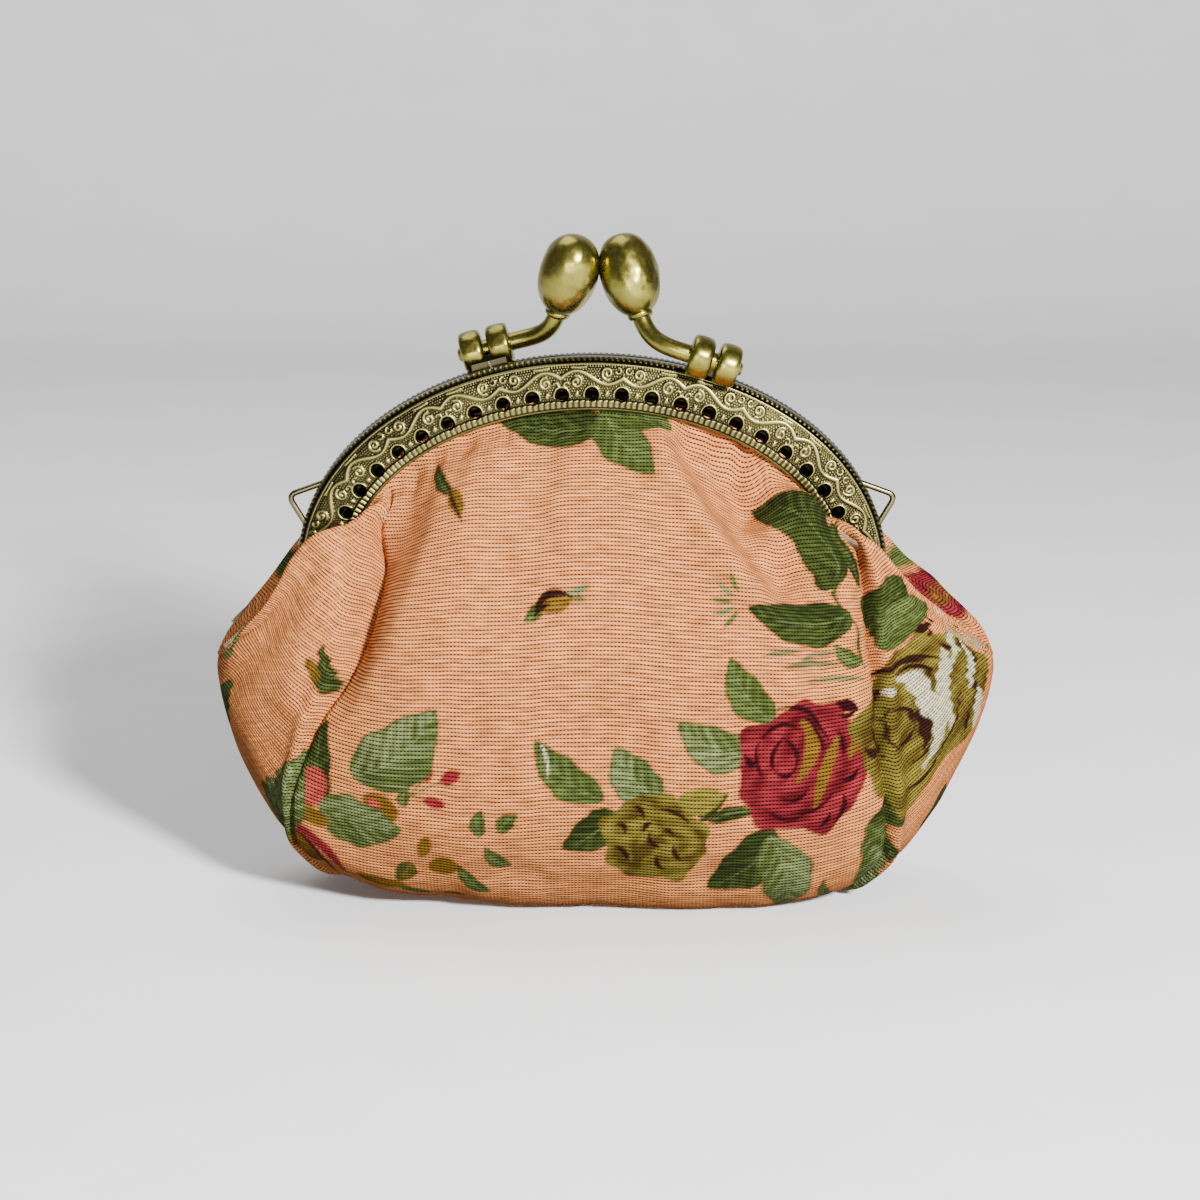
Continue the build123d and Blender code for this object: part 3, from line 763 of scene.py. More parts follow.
# Soft folds of the front, as (route in the front view, half width, height of the fold).
FRONT_FOLDS = (
    (((-14, 71), (-16.5, 62), (-19, 50), (-23, 38), (-28, 27)), 4.2, 1.3),
    (((-9, 72), (-10, 60), (-12, 48)), 4.0, -0.8),
    (((19.5, 68), (21.6, 64), (23.8, 60.4)), 3.0, -5.6),
    (((25.6, 65.2), (27.6, 61.5), (30, 56.5)), 2.2, 2.0),
    (((13.5, 67), (17.5, 61), (22.5, 55), (27, 50)), 2.9, -3.6),
    (((8, 72), (12, 65), (17, 57), (22, 49)), 3.0, 2.4),
    (((-5, 72), (-6.5, 65), (-7, 58)), 2.4, -0.8),
    (((31, 60), (34.5, 53), (37, 43)), 2.2, 1.5),
    (((28.5, 54), (31, 44), (33, 30)), 2.6, -1.6),
    (((-34, 56), (-40, 50), (-47, 40), (-52, 33)), 2.0, -0.7),
    (((-36.5, 52), (-40, 43), (-43, 32)), 2.8, 0.9),
    (((40, 46), (47, 38), (52, 32)), 2.2, -0.8),
    (((-43, 20), (-38, 10), (-30, 5)), 2.5, 0.6),
    (((-18, 8), (0, 5), (20, 7)), 2.6, -0.5),
    (((-8, 40), (6, 36), (20, 38)), 5.0, 0.7),
)


def folds(x, z, side):
    """Height of the soft folds and puckers of the cloth, in millimetres."""
    if side > 0:
        x = -x
    total = 1.0 * fractal(x / 17 + 5, z / 19 + 2, 3 + side, 2)
    total = total + 0.42 * fractal(x / 5.5, z / 7.5, 11 + side, 2)
    for route, width, height in FRONT_FOLDS:
        total = total + height * bell(x, z, route, width)
    return total


# The panel drops towards each front seam: depth and width of the drop down the pouch.
DROP_ROWS = (0.0, 5.0, 12.0, 28.0, 40.0, 50.0, 92.0)
LEFT_DROP, LEFT_REACH = (0.0, 1.6, 5.0, 6.4, 3.4, 0.6, 0.0), (12.0, 12.0, 11.5, 10.0, 7.0, 4.5, 4.0)
RIGHT_DROP, RIGHT_REACH = (0.0, 0.9, 2.2, 2.2, 1.6, 0.8, 0.0), (5.0, 5.0, 5.0, 5.0, 4.0, 4.0, 4.0)


def seam_drop(places, rows):
    """Depth of the slope that falls to each seam, steep on the panel and abrupt on the gusset."""
    inward = (SEAM_AT - np.abs(places))[None]
    total = 0.0
    sides = ((places < 0, LEFT_DROP, LEFT_REACH), (places >= 0, RIGHT_DROP, RIGHT_REACH))
    for is_side, depth, reach in sides:
        depth, reach = (hermite(DROP_ROWS, v, rows)[:, None] for v in (depth, reach))
        slope = sum(1 - np.clip((inward + k) / reach, 0, 1) for k in (-1, -0.5, 0, 0.5, 1)) / 5
        edge = np.exp(-np.abs(inward) / 1.5)
        total = total + is_side[None] * depth * np.where(inward > 0, slope, edge)
    return total


def build_pouch_half(side, pitch):
    """Points, texture coordinates and column places of the front or rear half of the pouch."""
    half = GUIDE_AT[-1]
    count = int(2 * half / pitch)
    places = np.linspace(-half, half, count + 1)
    seams = np.array([np.abs(places + SEAM_AT).argmin(), np.abs(places - SEAM_AT).argmin()])
    places[seams] = (-SEAM_AT, SEAM_AT)
    rows = np.linspace(0, STATION_AT[-1], int(STATION_AT[-1] / pitch) + 1)
    points = quarter(np.abs(places), rows)
    sign = np.where(places < 0, -1.0, 1.0)
    points[..., 0] *= sign
    reach = np.interp(np.abs(places), (0, SEAM_AT, half), (0, 1, 0))
    left_shift, right_shift = (hermite(SEAM_ROWS, shift, rows) for shift in SEAM_SHIFTS)
    for row, (left, right) in enumerate(zip(left_shift, right_shift)):
        shifted = places + np.where(places < 0, left, right) * reach
        for axis in range(3):
            points[row, :, axis] = np.interp(shifted, places, points[row, :, axis])
    x, z = points[..., 0], points[..., 2]
    lean = smooth(54, 40, z) * np.where(x > 0, 0.036, -0.032) * (x / 56) ** 2
    points[..., 0] *= 1 + lean
    points[..., 2] += 2.5 * smooth(-12, -38, x) * (1 - smooth(2, 22, z))
    if side < 0:
        by_ridge = smooth(40, 47, np.abs(x)) * smooth(0, 5, half - np.abs(places))
        points[..., 2] -= 1.7 * by_ridge * smooth(24, 8, rows[:, None])
    points[..., 1] *= -1.0

    normal = grid_normals(points)
    if normal[len(rows) // 2, count // 2, 1] > 0:
        normal = -normal
    edge = rows[:, None]
    held = smooth(0.5, 9.0, edge) * (1 - smooth(80, 92, edge))
    keel = smooth(0, 5, half - np.abs(places))[None]
    height = folds(points[..., 0], points[..., 2], side) * held * keel
    if side < 0:
        height = height - seam_drop(places, rows)
    seam_gap = np.abs(np.abs(places) - SEAM_AT)[None]
    pucker = 0.16 * np.sin(edge * 2.1 + 3 * lattice_noise(edge / 6, edge * 0, 3))
    height = height - (1.0 + pucker) * np.exp(-((seam_gap / 0.6) ** 2)) * smooth(1, 5, edge)
    outside = (np.abs(places) > SEAM_AT)[None]
    height = height + 0.75 * outside * np.exp(-(((seam_gap - 1.7) / 1.3) ** 2)) * smooth(1, 8, edge)
    gather_wave = fractal(places / 2.3, places * 0 + 4, 17, 2)[None]
    height = height + 0.62 * gather_wave * np.exp(-((edge - 4.2) / 4.2) ** 2)
    points = points + normal * height[..., None]
    points[..., 2] = np.maximum(points[..., 2], 0.02)

    across = np.linalg.norm(np.diff(points, axis=1), axis=2)
    middle = len(places) // 2
    u = np.concatenate([np.zeros((len(rows), 1)), np.cumsum(across, axis=1)], axis=1)
    u = u - u[:, middle : middle + 1]
    down = np.linalg.norm(np.diff(points, axis=0), axis=2)
    v = np.concatenate([np.zeros((1, len(places))), np.cumsum(down, axis=0)], axis=0)
    v = v[-1:] - v
    local = 0.5 + 0.5 * smooth(38, 58, np.abs(places))
    v = local * v + (1 - local) * v[:, middle : middle + 1]
    if side > 0:
        points[..., 1] *= -1.0
    return points, np.stack([u, v], axis=2), places, seams


# ---------------------------------------------------------------- printed pattern
DARK_GREEN, MID_GREEN = (0.024, 0.036, 0.008), (0.062, 0.085, 0.018)
LIGHT_GREEN, PALE_GREEN = (0.125, 0.17, 0.045), (0.23, 0.28, 0.11)
SOFT_GREEN = (0.080, 0.110, 0.026)
GREY_GREEN = (0.20, 0.17, 0.07)
CRIMSON, ROSE_RED = (0.115, 0.008, 0.012), (0.30, 0.026, 0.034)
MAROON, BROWN = (0.030, 0.004, 0.006), (0.028, 0.009, 0.006)
MUSTARD, OLIVE = (0.20, 0.105, 0.011), (0.085, 0.052, 0.009)
STRAW, CREAM = (0.25, 0.20, 0.030), (0.66, 0.62, 0.40)
BERRY, CORAL = (0.27, 0.020, 0.026), (0.46, 0.070, 0.052)
# Tones of leaves, dark and light, and of roses: petals, their shade, pen lines and glints.
DEEP, FRESH, SOFT = (DARK_GREEN, MID_GREEN), (MID_GREEN, LIGHT_GREEN), (SOFT_GREEN, PALE_GREEN)
RED_ROSE = (ROSE_RED, CRIMSON, MAROON, MUSTARD)
OLIVE_ROSE, CREAM_ROSE = (STRAW, OLIVE, BROWN, OLIVE), (STRAW, OLIVE, BROWN, CREAM)

# Strokes of a rose about its middle, in hundredths of its size: the x and y of three points, then the
# width. Pen lines of a full rose, those of a small one, and the broad glints between the petals.
ROSE_LINES = (
    (-17, 24, -2, 14, -9, 0, 3), (-9, 0, -15, -7, -21, 1, 3.4), (-22, 0, -27, 12, -16, 24, 3),
    (-30, 24, -17, 40, -5, 28, 3.4), (-20, 44, 6, 50, 17, 17, 4), (-2, 37, 10, 33, 12, 12, 3),
    (-33, 20, -36, 6, -29, -4, 3), (-41, 12, -38, 5, -35, 4, 5), (-18, -18, -6, -26, 1, -13, 3),
    (-27, -26, -15, -40, -2, -32, 3), (-10, -30, 6, -34, 18, -20, 2.6), (20, -42, 28, -34, 26, -24, 4),
    (9, -43, 14, -40, 16, -34, 3.6), (24, -12, 32, -16, 36, -8, 5), (38, 2, 43, 0, 45, 4, 4.5),
    (25, 34, 33, 31, 36, 36, 4), (24, 22, 27, 12, 25, 4, 3), (24, 44, 31, 41, 37, 36, 9),
)
ROSE_DASHES = (
    (-24, 20, -16, 26, -10, 12, 5.5), (-30, 4, -22, 2, -16, -6, 5.5), (-6, 2, 2, 6, 8, -5, 6),
    (10, 30, 16, 22, 24, 24, 6.5), (26, 6, 30, -2, 36, 2, 5.5), (20, -16, 26, -24, 33, -20, 5.5),
    (-16, -34, -2, -40, 12, -32, 5), (14, -4, 16, -10, 12, -16, 4.5), (-10, -16, -4, -20, 0, -14, 4.5),
)
ROSE_GLINTS = (
    (-3, 34, 13, 16, -6, -6, 10.5), (22, 18, 12, 0, 6, -28, 9), (37, 17, 33, 10, 30, 2, 7),
)


class Print:
    """Paints motifs on cloth coordinates, in millimetres, one over another."""

    def __init__(self, u, v, seed):
        self.u, self.v = u.ravel(), v.ravel()
        self.colour = np.tile(np.array(PINK), (self.u.size, 1))
        self.ragged = 0.13 * fractal(self.u / 0.6, self.v / 0.6, seed, 2)
        self.seed = seed

    def near(self, x, y, reach):
        return np.flatnonzero((np.abs(self.u - x) < reach) & (np.abs(self.v - y) < reach))

    def lay(self, where, colour, cover):
        cover = np.clip(cover, 0, 1)[:, None]
        self.colour[where] = self.colour[where] * (1 - cover) + np.asarray(colour) * cover

    def local(self, x, y, angle, reach):
        where = self.near(x, y, reach)
        du, dv = self.u[where] - x, self.v[where] - y
        a = np.radians(angle)
        return where, du * np.cos(a) + dv * np.sin(a), -du * np.sin(a) + dv * np.cos(a)

    def oval(self, x, y, length, width, angle, colour):
        """A filled oval, a little mottled."""
        where, s, t = self.local(x, y, angle, length)
        away = np.hypot(2 * s / length, 2 * t / width)
        cover = smooth(0.22, -0.22, (away - 1) * min(length, width) / 2 + self.ragged[where])
        mottle = 0.85 + 0.3 * lattice_noise(s * 1.1 + 40, t * 1.6 + 40, self.seed)[:, None]
        self.lay(where, np.asarray(colour) * mottle, cover)

    def stroke(self, points, width, colour):
        """A curved brush stroke from the first of three points to the last, thinner at its ends."""
        first, bend, last = np.asarray(points, float).reshape(-1, 2)
        t = np.linspace(0, 1, 9)[:, None]
        points = (1 - t) ** 2 * first + 2 * (1 - t) * t * bend + t**2 * last
        middle = points.mean(axis=0)
        reach = np.abs(points - middle).max() + width + 1
        where = self.near(*middle, reach)
        away, share = polyline(self.u[where], self.v[where], points)
        half = width / 2 * np.sin(np.pi * np.clip(share, 0.06, 0.94)) ** 0.6
        cover = smooth(0.16, -0.16, away - half + 0.6 * self.ragged[where])
        self.lay(where, colour, cover)

    def ovals(self, *rows):
        """Ovals, each as the arguments of oval."""
        for row in rows:
            self.oval(*row)

    def strokes(self, *rows):
        """Strokes, each as the x and y of three points, the width and the colour."""
        for *points, width, colour in rows:
            self.stroke(points, width, colour)

    def leaves(self, *rows):
        """Leaves, each as the arguments of leaf."""
        for row in rows:
            self.leaf(*row)

    def leaf(self, x0, y0, x1, y1, width, tones, bend=0.1):
        """A pointed leaf from its stalk to its tip, brushed lighter along one half and its veins."""
        dark, light = np.array(tones)
        length, angle = np.hypot(x1 - x0, y1 - y0), np.degrees(np.arctan2(y1 - y0, x1 - x0))
        where, s, t = self.local((x0 + x1) / 2, (y0 + y1) / 2, angle, 0.62 * length + width)
        s = s / length + 0.5
        t = t - bend * length * (1 - (2 * s - 1) ** 2)
        inside = np.clip(s, 0, 1)
        half = 0.5 * width * np.sin(np.pi * inside**0.8) ** 0.75
        half = half * (1 + 0.06 * np.sin(s * 17 + 2 * np.sign(t)))
        off = np.where((s < 0) | (s > 1), 1.0, np.abs(t) - half + self.ragged[where])
        cover = smooth(0.2, -0.2, off)
        side_vein = s * 0.75 * length / 1.9 - np.abs(t) / 1.9
        brush = 0.5 + 0.5 * np.cos(2 * np.pi * side_vein)
        streak = fractal(side_vein * 1.4 + 20, t * 0.5 + 3 * s, self.seed + 5, 2)
        half_tone = 0.30 * np.tanh(5 * t / width)
        tone = np.clip(0.42 + half_tone + 0.70 * (brush - 0.5) + 0.65 * streak, 0, 1)
        tone = tone * smooth(0.0, 0.7, -off)
        colour = dark * (1 - tone[:, None]) + light * tone[:, None]
        self.lay(where, colour, cover)
        vein = smooth(0.26, 0.05, np.abs(t)) * smooth(0.0, 0.12, s) * smooth(0.95, 0.6, s)
        self.lay(where, 0.6 * light + 0.4 * np.array(PALE_GREEN), 0.6 * cover * vein)

    def wisps(self, x, y, size, angle, count):
        """A fan of thin grass-like strokes."""
        for number in range(count):
            a = np.radians(angle + 30 * (number - (count - 1) / 2))
            start = (x + 0.35 * size * np.cos(a), y + 0.35 * size * np.sin(a))
            tip = (x + size * np.cos(a), y + size * np.sin(a))
            bend = (x + 0.65 * size * np.cos(a + 0.15), y + 0.65 * size * np.sin(a + 0.15))
            self.stroke((start, bend, tip), 0.75, PALE_GREEN if number % 2 else LIGHT_GREEN)

    def rose(self, x, y, size, angle, tones, full=True):
        """A painted rose: ruffled petals in two tones, broad glints and broken pen lines."""
        petals, shade, outline, accent = np.array(tones)
        where, s, t = self.local(x, y, angle, 0.75 * size)
        s, t = s / size, t / size
        polar, away = np.arctan2(t, s), np.hypot(s, t)
        ruffle = 0.47 + 0.028 * np.sin(5 * polar + 1) + 0.022 * np.sin(8 * polar) + 0.012 * np.sin(13 * polar)
        cover = smooth(0.01, -0.01, away - ruffle + self.ragged[where] / size)
        band = np.sin(36 * away + 3.0 * np.sin(2 * polar + size) + 2.0 * np.sin(3 * polar))
        cloud = fractal(s * 7 + size, t * 7, self.seed + 3, 3)
        tone = np.clip(0.55 + 0.28 * band + 0.75 * cloud, 0, 1)[:, None]
        self.lay(where, shade * (1 - tone) + petals * tone, cover)
        turn = np.radians(angle)
        across = size * np.array([np.cos(turn), np.sin(turn)])
        upward = size * np.array([-np.sin(turn), np.cos(turn)])

        glints, pen_lines = (ROSE_GLINTS, ROSE_LINES) if full else (ROSE_GLINTS[:1], ROSE_DASHES)
        for lines, colour in ((glints, accent), (pen_lines, outline)):
            for line in np.array(lines) / 100:
                route = [np.array([x, y]) + px * across + py * upward for px, py in line[:6].reshape(3, 2)]
                self.stroke(route, line[6] * size, colour)


def paint_front(u, v):
    """The pattern of the front half: two bunches of roses with leaves, buds and berries."""
    p = Print(u, v, 23)
    # Top: a dark leaf and a paler one just under the frame.
    p.leaves(
        (3.3, 89.1, -13.7, 91.3, 6.4, DEEP), (1.7, 91.9, 8.8, 80.7, 7.6, FRESH, -0.08),
        (2.5, 91.4, 11.8, 89.1, 6.4, FRESH),
    )
    # Small bud at the upper left.
    p.leaves((-20, 78.7, -23.4, 86.7, 2.2, DEEP))
    p.ovals((-19.6, 77.7, 5.2, 2.4, 106, MUSTARD))
    p.strokes((-20.9, 80.7, -20.1, 77.6, -18.6, 74.1, 0.6, BROWN))
    # Small half-flower in the middle.
    p.leaves((-7.4, 61.7, -9.4, 59.3, 2.2, FRESH))
    p.strokes(
        (-3.7, 62.9, -1.8, 63.4, -0.5, 63.8, 1.0, PALE_GREEN),
        (-3.2, 62.4, -1.9, 62.4, -0.9, 61.9, 0.8, LIGHT_GREEN),
    )
    p.ovals((-5.1, 61.5, 4.4, 2.6, 8, MUSTARD))
    p.strokes(
        (-7.9, 60.2, -7.1, 64.6, -2.8, 62.4, 1.3, BROWN), (-7.9, 60.2, -6.9, 61.6, -6, 61.5, 0.8, BROWN),
    )
    # Two large leaves at the right with their twig.
    p.strokes(
        (41.9, 73.9, 37.9, 66.7, 38.4, 60.2, 0.8, MID_GREEN),
        (39.2, 61.5, 38.4, 56.1, 40.7, 51.6, 0.7, MID_GREEN),
    )
    p.leaves(
        (38.2, 65.9, 27.6, 83, 10.5, DEEP, -0.22), (39.5, 61.9, 21.8, 62.1, 7.4, DEEP),
        (39.9, 52.7, 35.1, 56.8, 2.6, FRESH),
    )
    p.wisps(21.3, 62.7, 4.6, 170, 5)
    p.strokes(
        (24.2, 55.1, 26.4, 56, 29.8, 56, 1.0, GREY_GREEN),
        (27.2, 53.6, 31.7, 54.4, 35.5, 53.7, 1.2, GREY_GREEN),
        (31.5, 51.3, 35.2, 52, 40.4, 50.1, 0.9, GREY_GREEN),
        (29.4, 54.3, 32.5, 56.1, 35.2, 55.4, 0.8, GREY_GREEN),
    )
    # Leaves of the red rose.
    p.leaves(
        (25.7, 45.4, 19.3, 54.9, 5.6, FRESH), (22.9, 40.4, 12, 45.3, 6.6, SOFT),
        (25.9, 29, 16.5, 18, 8.0, DEEP), (25.2, 28, 27.5, 10.7, 7.8, SOFT),
        (16.4, 31.1, 23.5, 31.8, 2.4, DEEP), (15.3, 31.1, 19.3, 35.3, 2.6, DEEP),
        (40.9, 27.6, 38, 6.1, 6.0, (MID_GREEN, PALE_GREEN)), (35.5, 9.8, 33.5, 18.3, 2.0, FRESH),
    )
    p.rose(30.5, 38, 21.5, 0, RED_ROSE)
    # Olive rose with its leaves.
    p.leaves((1.6, 33.5, -8.1, 42.4, 5.6, FRESH))
    p.strokes((-7.1, 41.8, -6, 39.7, -6.1, 36.7, 0.4, CREAM))
    p.leaves((9.6, 33.9, 3.2, 41.2, 6.8, SOFT), (3.2, 32, -4.3, 25.5, 6.0, DEEP))
    p.ovals((15, 34.1, 7.0, 4.0, 20, STRAW))
    p.rose(8.8, 27.2, 16.0, 150, OLIVE_ROSE, False)
    # Berries and small sprigs.
    fork = (-25.6, 33.9)
    for x, y, size, turn in (
        (-26, 36.9, 2.4, 110), (-23.2, 37.4, 2.7, 80), (-20, 37, 3.2, 35), (-22.3, 32.9, 3.0, -10)
    ):
        p.stroke(((x, y), ((x + fork[0]) / 2, (y + fork[1]) / 2), fork), 0.3, LIGHT_GREEN)
        p.oval(x, y, size, 0.62 * size, turn, BERRY)
    p.leaves(
        (-26.7, 31.9, -26.1, 34.9, 2.0, FRESH), (-15.9, 27.9, -15.6, 32.3, 2.4, FRESH),
        (-13.2, 28.8, -10.5, 31.7, 2.6, FRESH), (-11.6, 22, -15.2, 26.3, 2.6, FRESH),
        (-14.7, 16.4, -19.2, 22.3, 2.6, FRESH),
    )
    # Mustard buds.
    p.ovals((-23.9, 25.1, 4.6, 2.0, 78, MUSTARD), (-21.3, 21.4, 4.6, 3.8, 30, MUSTARD))
    p.leaves((-26.2, 21.6, -28.2, 17.1, 3.2, (MID_GREEN, MUSTARD)))
    p.ovals((-30.3, 16.3, 8.0, 2.6, -8, MUSTARD))
    p.leaves((-22.9, 13.5, -28.4, 16.2, 1.6, FRESH))
    p.ovals((-20, 13.8, 3.4, 1.4, 0, MUSTARD))
    # Left bunch: leaves over a red and mustard rose that runs across the seam.
    p.leaves((-34.3, 35.8, -21.8, 46.9, 10.0, SOFT, -0.1), (-38.8, 29.9, -38.7, 42.8, 4.6, DEEP))
    p.ovals((-30, 31.5, 5.8, 4.0, -35, MUSTARD), (-31.1, 32, 2.2, 1.6, -50, CORAL))
    p.leaves((-39.5, 29.8, -27, 27.7, 9.4, SOFT, -0.1))
    p.ovals(
        (-40.9, 31.7, 7.6, 4.6, 62, CORAL), (-41, 27.4, 6.4, 3.2, -20, MUSTARD),
        (-42.5, 19.3, 7.6, 6.0, -45, MUSTARD),
    )
    p.strokes(
        (-44.7, 24, -39, 24.5, -36.1, 16.5, 2.0, ROSE_RED),
        (-43.9, 23, -39.8, 23, -37.6, 12.7, 0.9, CRIMSON),
    )
    p.ovals((-50.2, 20.3, 8.2, 4.4, -65, MUSTARD))
    p.strokes(
        (-52.5, 19, -49.2, 21.9, -45.8, 23.1, 0.9, BROWN),
        (-52, 13.7, -46.4, 21.6, -46.2, 17.9, 0.8, BROWN),
    )
    p.leaves((-51.9, 17.5, -42.7, 36.9, 8.0, SOFT, -0.08))
    # Bud on the left gusset, and leaves at its fold.
    p.leaves((-39.4, 48.3, -48.4, 49.8, 3.2, DEEP), (-42, 49.3, -46.8, 53.6, 2.6, DEEP))
    p.ovals((-45.9, 48.7, 3.8, 1.6, -40, MUSTARD))
    p.leaves(
        (-61.6, 23.5, -60.8, 31.8, 5.0, FRESH),
        (-64.6, 34.2, -66.5, 40.8, 3.4, (LIGHT_GREEN, PALE_GREEN)),
    )
    # Right gusset: leaves and a white and olive rose.
    p.leaves(
        (43.4, 66.2, 43.9, 79.2, 3.6, DEEP), (44.6, 55.9, 57.3, 64.9, 10.0, DEEP),
        (44.8, 55.5, 63.4, 56.3, 8.0, FRESH), (49.4, 29.2, 39.6, 26.4, 6.0, DEEP),
        (58.2, 19.6, 50.5, 13.9, 6.0, DEEP), (43.6, 20.7, 45.2, 16.5, 3.0, DEEP),
        (39.6, 26.4, 43.5, 18.9, 3.0, FRESH),
    )
    p.ovals((60.4, 37, 12.0, 6.0, 60, ROSE_RED))
    p.rose(52, 39.4, 29.0, 20, CREAM_ROSE)
    p.strokes(
        (50.9, 45.9, 57.1, 33.1, 51, 30.5, 2.6, CREAM), (65.7, 49.9, 60.9, 45.9, 56.3, 41.4, 2.0, CREAM),
        (64.3, 44.1, 59.9, 40.2, 60.9, 35.4, 1.6, CREAM), (62.4, 33.9, 63, 30.7, 61.2, 27.9, 2.0, CREAM),
        (45.2, 46.7, 46.2, 47.3, 47.2, 46.8, 1.6, CREAM), (50, 40.7, 52.2, 36.7, 51.2, 33.6, 2.2, BROWN),
    )
    return p.colour


def paint_rear(u, v):
    """The pattern of the rear half, with the same motifs in another order."""
    p = Print(u, v, 41)
    for x, y, length, turn in (
        (-30, 74, 12, 200), (-22, 77, 9, -50), (14, 82, 9, 100), (-34, 44, 12, 120), (-18, 40, 10, 30),
        (4, 48, 9, 75), (28, 28, 12, 160), (44, 38, 11, 100), (34, 62, 9, 20), (-50, 54, 10, 95),
        (-6, 24, 10, 20), (50, 64, 10, -40), (-44, 26, 9, 140), (-52, 64, 11, 70),
    ):
        a = np.radians(turn)
        p.leaf(x, y, x + length * np.cos(a), y + length * np.sin(a), 0.55 * length, FRESH)
        a, length = a - 1.1, 0.8 * length
        p.leaf(x, y, x + length * np.cos(a), y + length * np.sin(a), 0.5625 * length, DEEP)
    p.rose(-26, 38, 20, 60, RED_ROSE)
    p.rose(36, 44, 17, 10, OLIVE_ROSE, False)
    p.rose(8, 72, 12, 90, RED_ROSE)
    p.leaf(-50, 58, -62, 50, 8, FRESH)
    p.rose(60, 51, 17, 0, RED_ROSE)
    for x, y, turn in ((6, 36, 80), (9, 38, 60), (12, 35, 30), (-8, 62, 100), (-5, 64, 70)):
        p.oval(x, y, 2.6, 1.6, turn, BERRY)
    return p.colour


# ---------------------------------------------------------------- pouch pieces
def cloth_piece(name, points, uv, colour, body, nodes, inward):
    """One sewn piece of cloth of the pouch, with its CAD nodes hidden."""
    rows, columns = points.shape[:2]
    colours = {"print": colour.reshape(-1, 3)} if colour is not None else None
    faces = grid_faces(rows, columns, flip=inward)
    obj = new_mesh(name, points.reshape(-1, 3), faces, colours, uv.reshape(-1, 2))
    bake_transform(obj)
    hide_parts(*nodes)
    return obj


def build_pouch(side, name, pitch):
    """The printed pieces of one half, cut at the side seams, with the lining behind them."""
    points, uv, places, seams = build_pouch_half(side, pitch)
    colour = (paint_front if side < 0 else paint_rear)(uv[..., 0], uv[..., 1])
    colour = colour.reshape(*points.shape)
    cuts = {
        f"vis_{name}_panel": (seams[0], seams[1] + 1, (f"{name}_panel", f"{name}_panel_top")),
        f"vis_left_gusset_{name}": (0, seams[0] + 1, ("left_gusset",)),
        f"vis_right_gusset_{name}": (seams[1], len(places), ("right_gusset",)),
    }
    for piece, (first, last, nodes) in cuts.items():
        part = slice(first, last)
        patch = (points[:, part], uv[:, part], colour[:, part])
        obj = cloth_piece(piece, *patch, f"{name}_half", nodes, inward=side < 0)
        paint(obj, CLOTH)
    build_lining(side, name, points, uv, places, pitch)


def build_lining(side, name, points, uv, places, pitch):
    """The plain cloth behind one half, which stays on its own side of the middle."""
    from_keel = GUIDE_AT[-1] - np.abs(places)
    from_seam = np.abs(np.abs(places) - SEAM_AT)
    from_frame = np.linspace(0, STATION_AT[-1], len(points))[:, None]
    thickness = CLOTH_THICKNESS * (0.2 + 0.8 * smooth(0, 5, from_keel))[None]
    room = SEAM_ROOM * np.exp(-((from_seam / SEAM_ROOM_WIDTH) ** 2))[None]
    thickness = thickness + room * smooth(5, 13, from_frame)
    spread = int(6 / pitch)
    around = np.pad(grid_normals(points), ((0, 0), (spread, spread), (0, 0)), mode="edge")
    facing = sum(around[:, k : k + len(places)] for k in range(0, 2 * spread + 1, 2))
    facing /= np.linalg.norm(facing, axis=2, keepdims=True)
    inner = points + side * facing * -thickness[..., None]
    inner[..., 1] = side * np.maximum(side * inner[..., 1], 0.1)
    inner[..., 2] = np.maximum(inner[..., 2], 0.4)
    step = round(LINING_STEP / pitch)
    kept = slice(*np.flatnonzero(from_keel > 4.5)[[0, -1]], step)
    nodes = (f"{name}_lining", f"{name}_lining_top")
    patch = (inner[::step, kept], uv[::step, kept], None)
    lining = cloth_piece(f"vis_{name}_lining", *patch, f"{name}_half", nodes, inward=side > 0)
    paint(lining, LINING)


# ---------------------------------------------------------------- assembly
for side, name, cloth_step in ((-1, "front", FRONT_CLOTH_STEP), (1, "rear", REAR_CLOTH_STEP)):
    half_frame = build_frame_half(side, f"vis_{name}_frame", EMBOSS_STEP)
    ears = build_ears(side, f"vis_{name}_ears")
    for piece in (half_frame, ears):
        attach(piece, f"{name}_half")
        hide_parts(f"{name}_frame")
    build_clasp(side, name, f"{name}_half")
    build_pouch(side, name, cloth_step)
    paint(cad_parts[f"{name}_packing_cord"], PAPER)
for side_x, name in ((-1, "left"), (1, "right")):
    build_loop(side_x, f"{name}_chain_loop")
    paint(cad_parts[f"{name}_hinge_rivet"], BRASS_DARK)


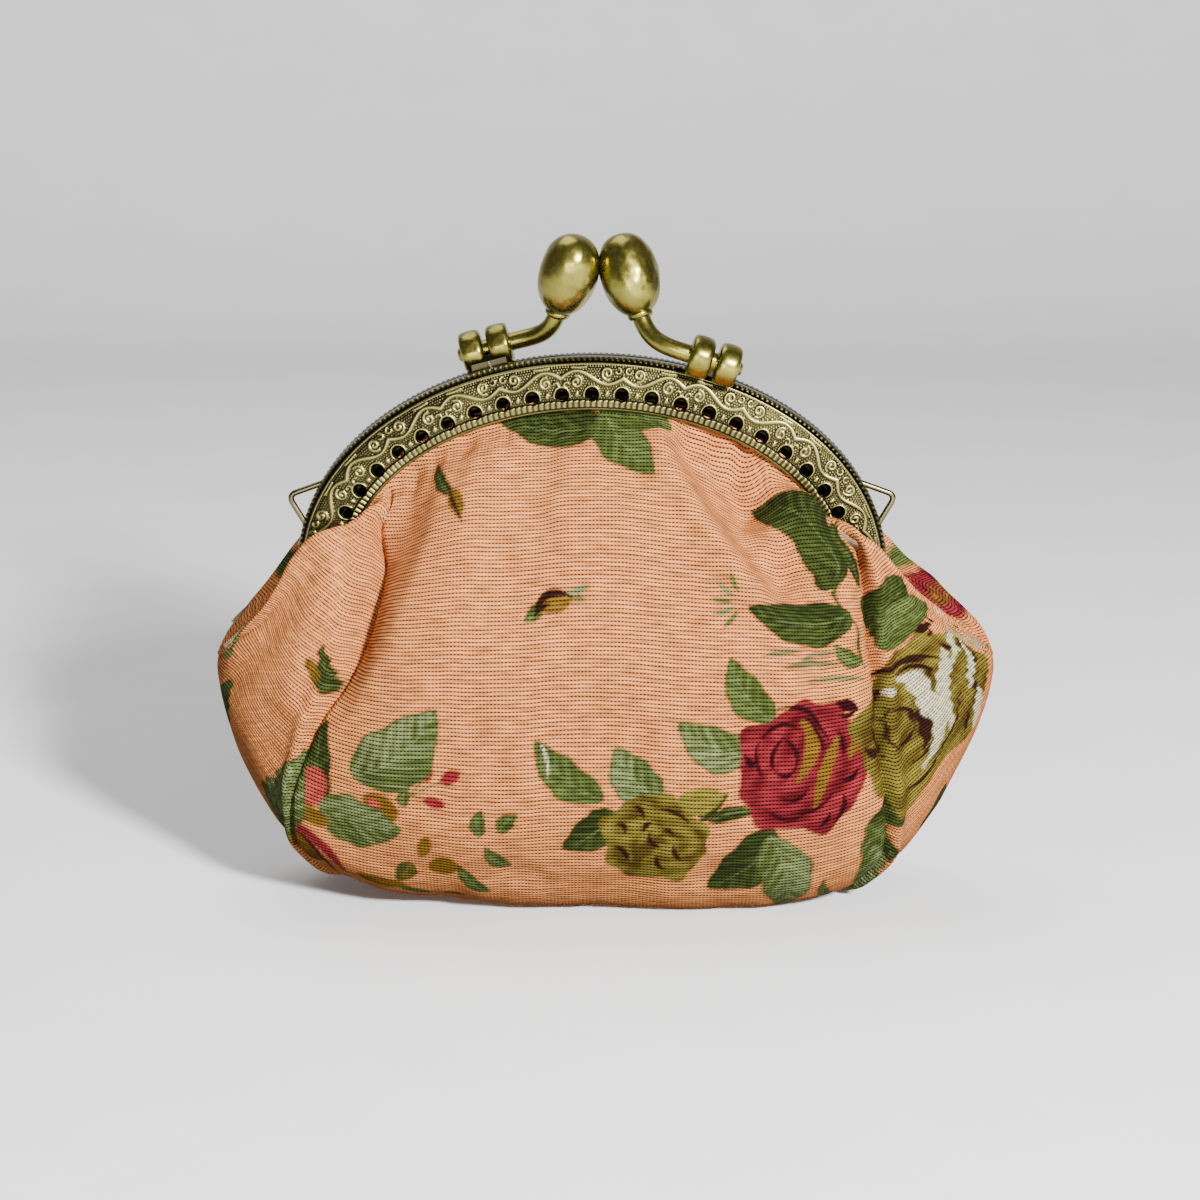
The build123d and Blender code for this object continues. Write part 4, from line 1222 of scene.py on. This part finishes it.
# ---------------------------------------------------------------- studio
def build_studio():
    """A pale sweep under and behind the purse, three soft lamps and the camera.

    The sweep takes the purse's shadow but throws no light back on the cloth.
    """
    nodes = Nodes("studio_paper")
    grain = nodes.noise(60.0, 2.0)
    nodes.link(
        nodes.ramp(grain, (0.4, (0.94, 0.94, 0.94)), (0.6, (0.96, 0.96, 0.96))),
        nodes.shader.inputs["Base Color"],
    )
    nodes.set(Roughness=0.95)
    angle = np.linspace(0, np.pi / 2, 24)
    profile = [(-900.0, 0.0)] + [(500 + 300 * np.sin(a), 300 - 300 * np.cos(a)) for a in angle]
    profile += [(800.0, 1500.0)]
    points = [(x, y, z) for y, z in profile for x in (-1500.0, 1500.0)]
    sweep = new_mesh("studio_sweep", points, grid_faces(len(profile), 2, flip=True))
    sweep.visible_diffuse = False
    paint(sweep, nodes.material)

    world = bpy.data.worlds.new("studio")
    bpy.context.scene.world = world
    world.use_nodes = True
    world.node_tree.nodes["Background"].inputs[0].default_value = (1.0, 1.0, 1.0, 1.0)
    world.node_tree.nodes["Background"].inputs[1].default_value = 0.18

    target = Vector((0, 0, 0.045))
    lamps = (
        ("key", (0.30, -0.64, 0.36), 0.09, 20.0),
        ("fill", (-0.10, -0.80, 0.04), 0.3, 4.2),
        ("top", (-0.15, 0.2, 0.7), 0.5, 3.0),
    )
    for lamp_name, place, size, power in lamps:
        light = bpy.data.lights.new(lamp_name, "AREA")
        light.size = size
        light.energy = power
        lamp = bpy.data.objects.new(lamp_name, light)
        lamp.location = place
        lamp.rotation_euler = (target - Vector(place)).to_track_quat("-Z", "Y").to_euler()
        bpy.context.scene.collection.objects.link(lamp)

    camera_data = bpy.data.cameras.new("camera")
    camera_data.lens = 100
    camera = bpy.data.objects.new("camera", camera_data)
    elevation, distance = np.radians(13.0), 0.483
    aim = Vector((0.00115, 0, 0.0437))
    camera.location = aim + distance * Vector((0, -np.cos(elevation), np.sin(elevation)))
    camera.rotation_euler = (aim - camera.location).to_track_quat("-Z", "Y").to_euler()
    bpy.context.scene.collection.objects.link(camera)
    bpy.context.scene.camera = camera


build_studio()
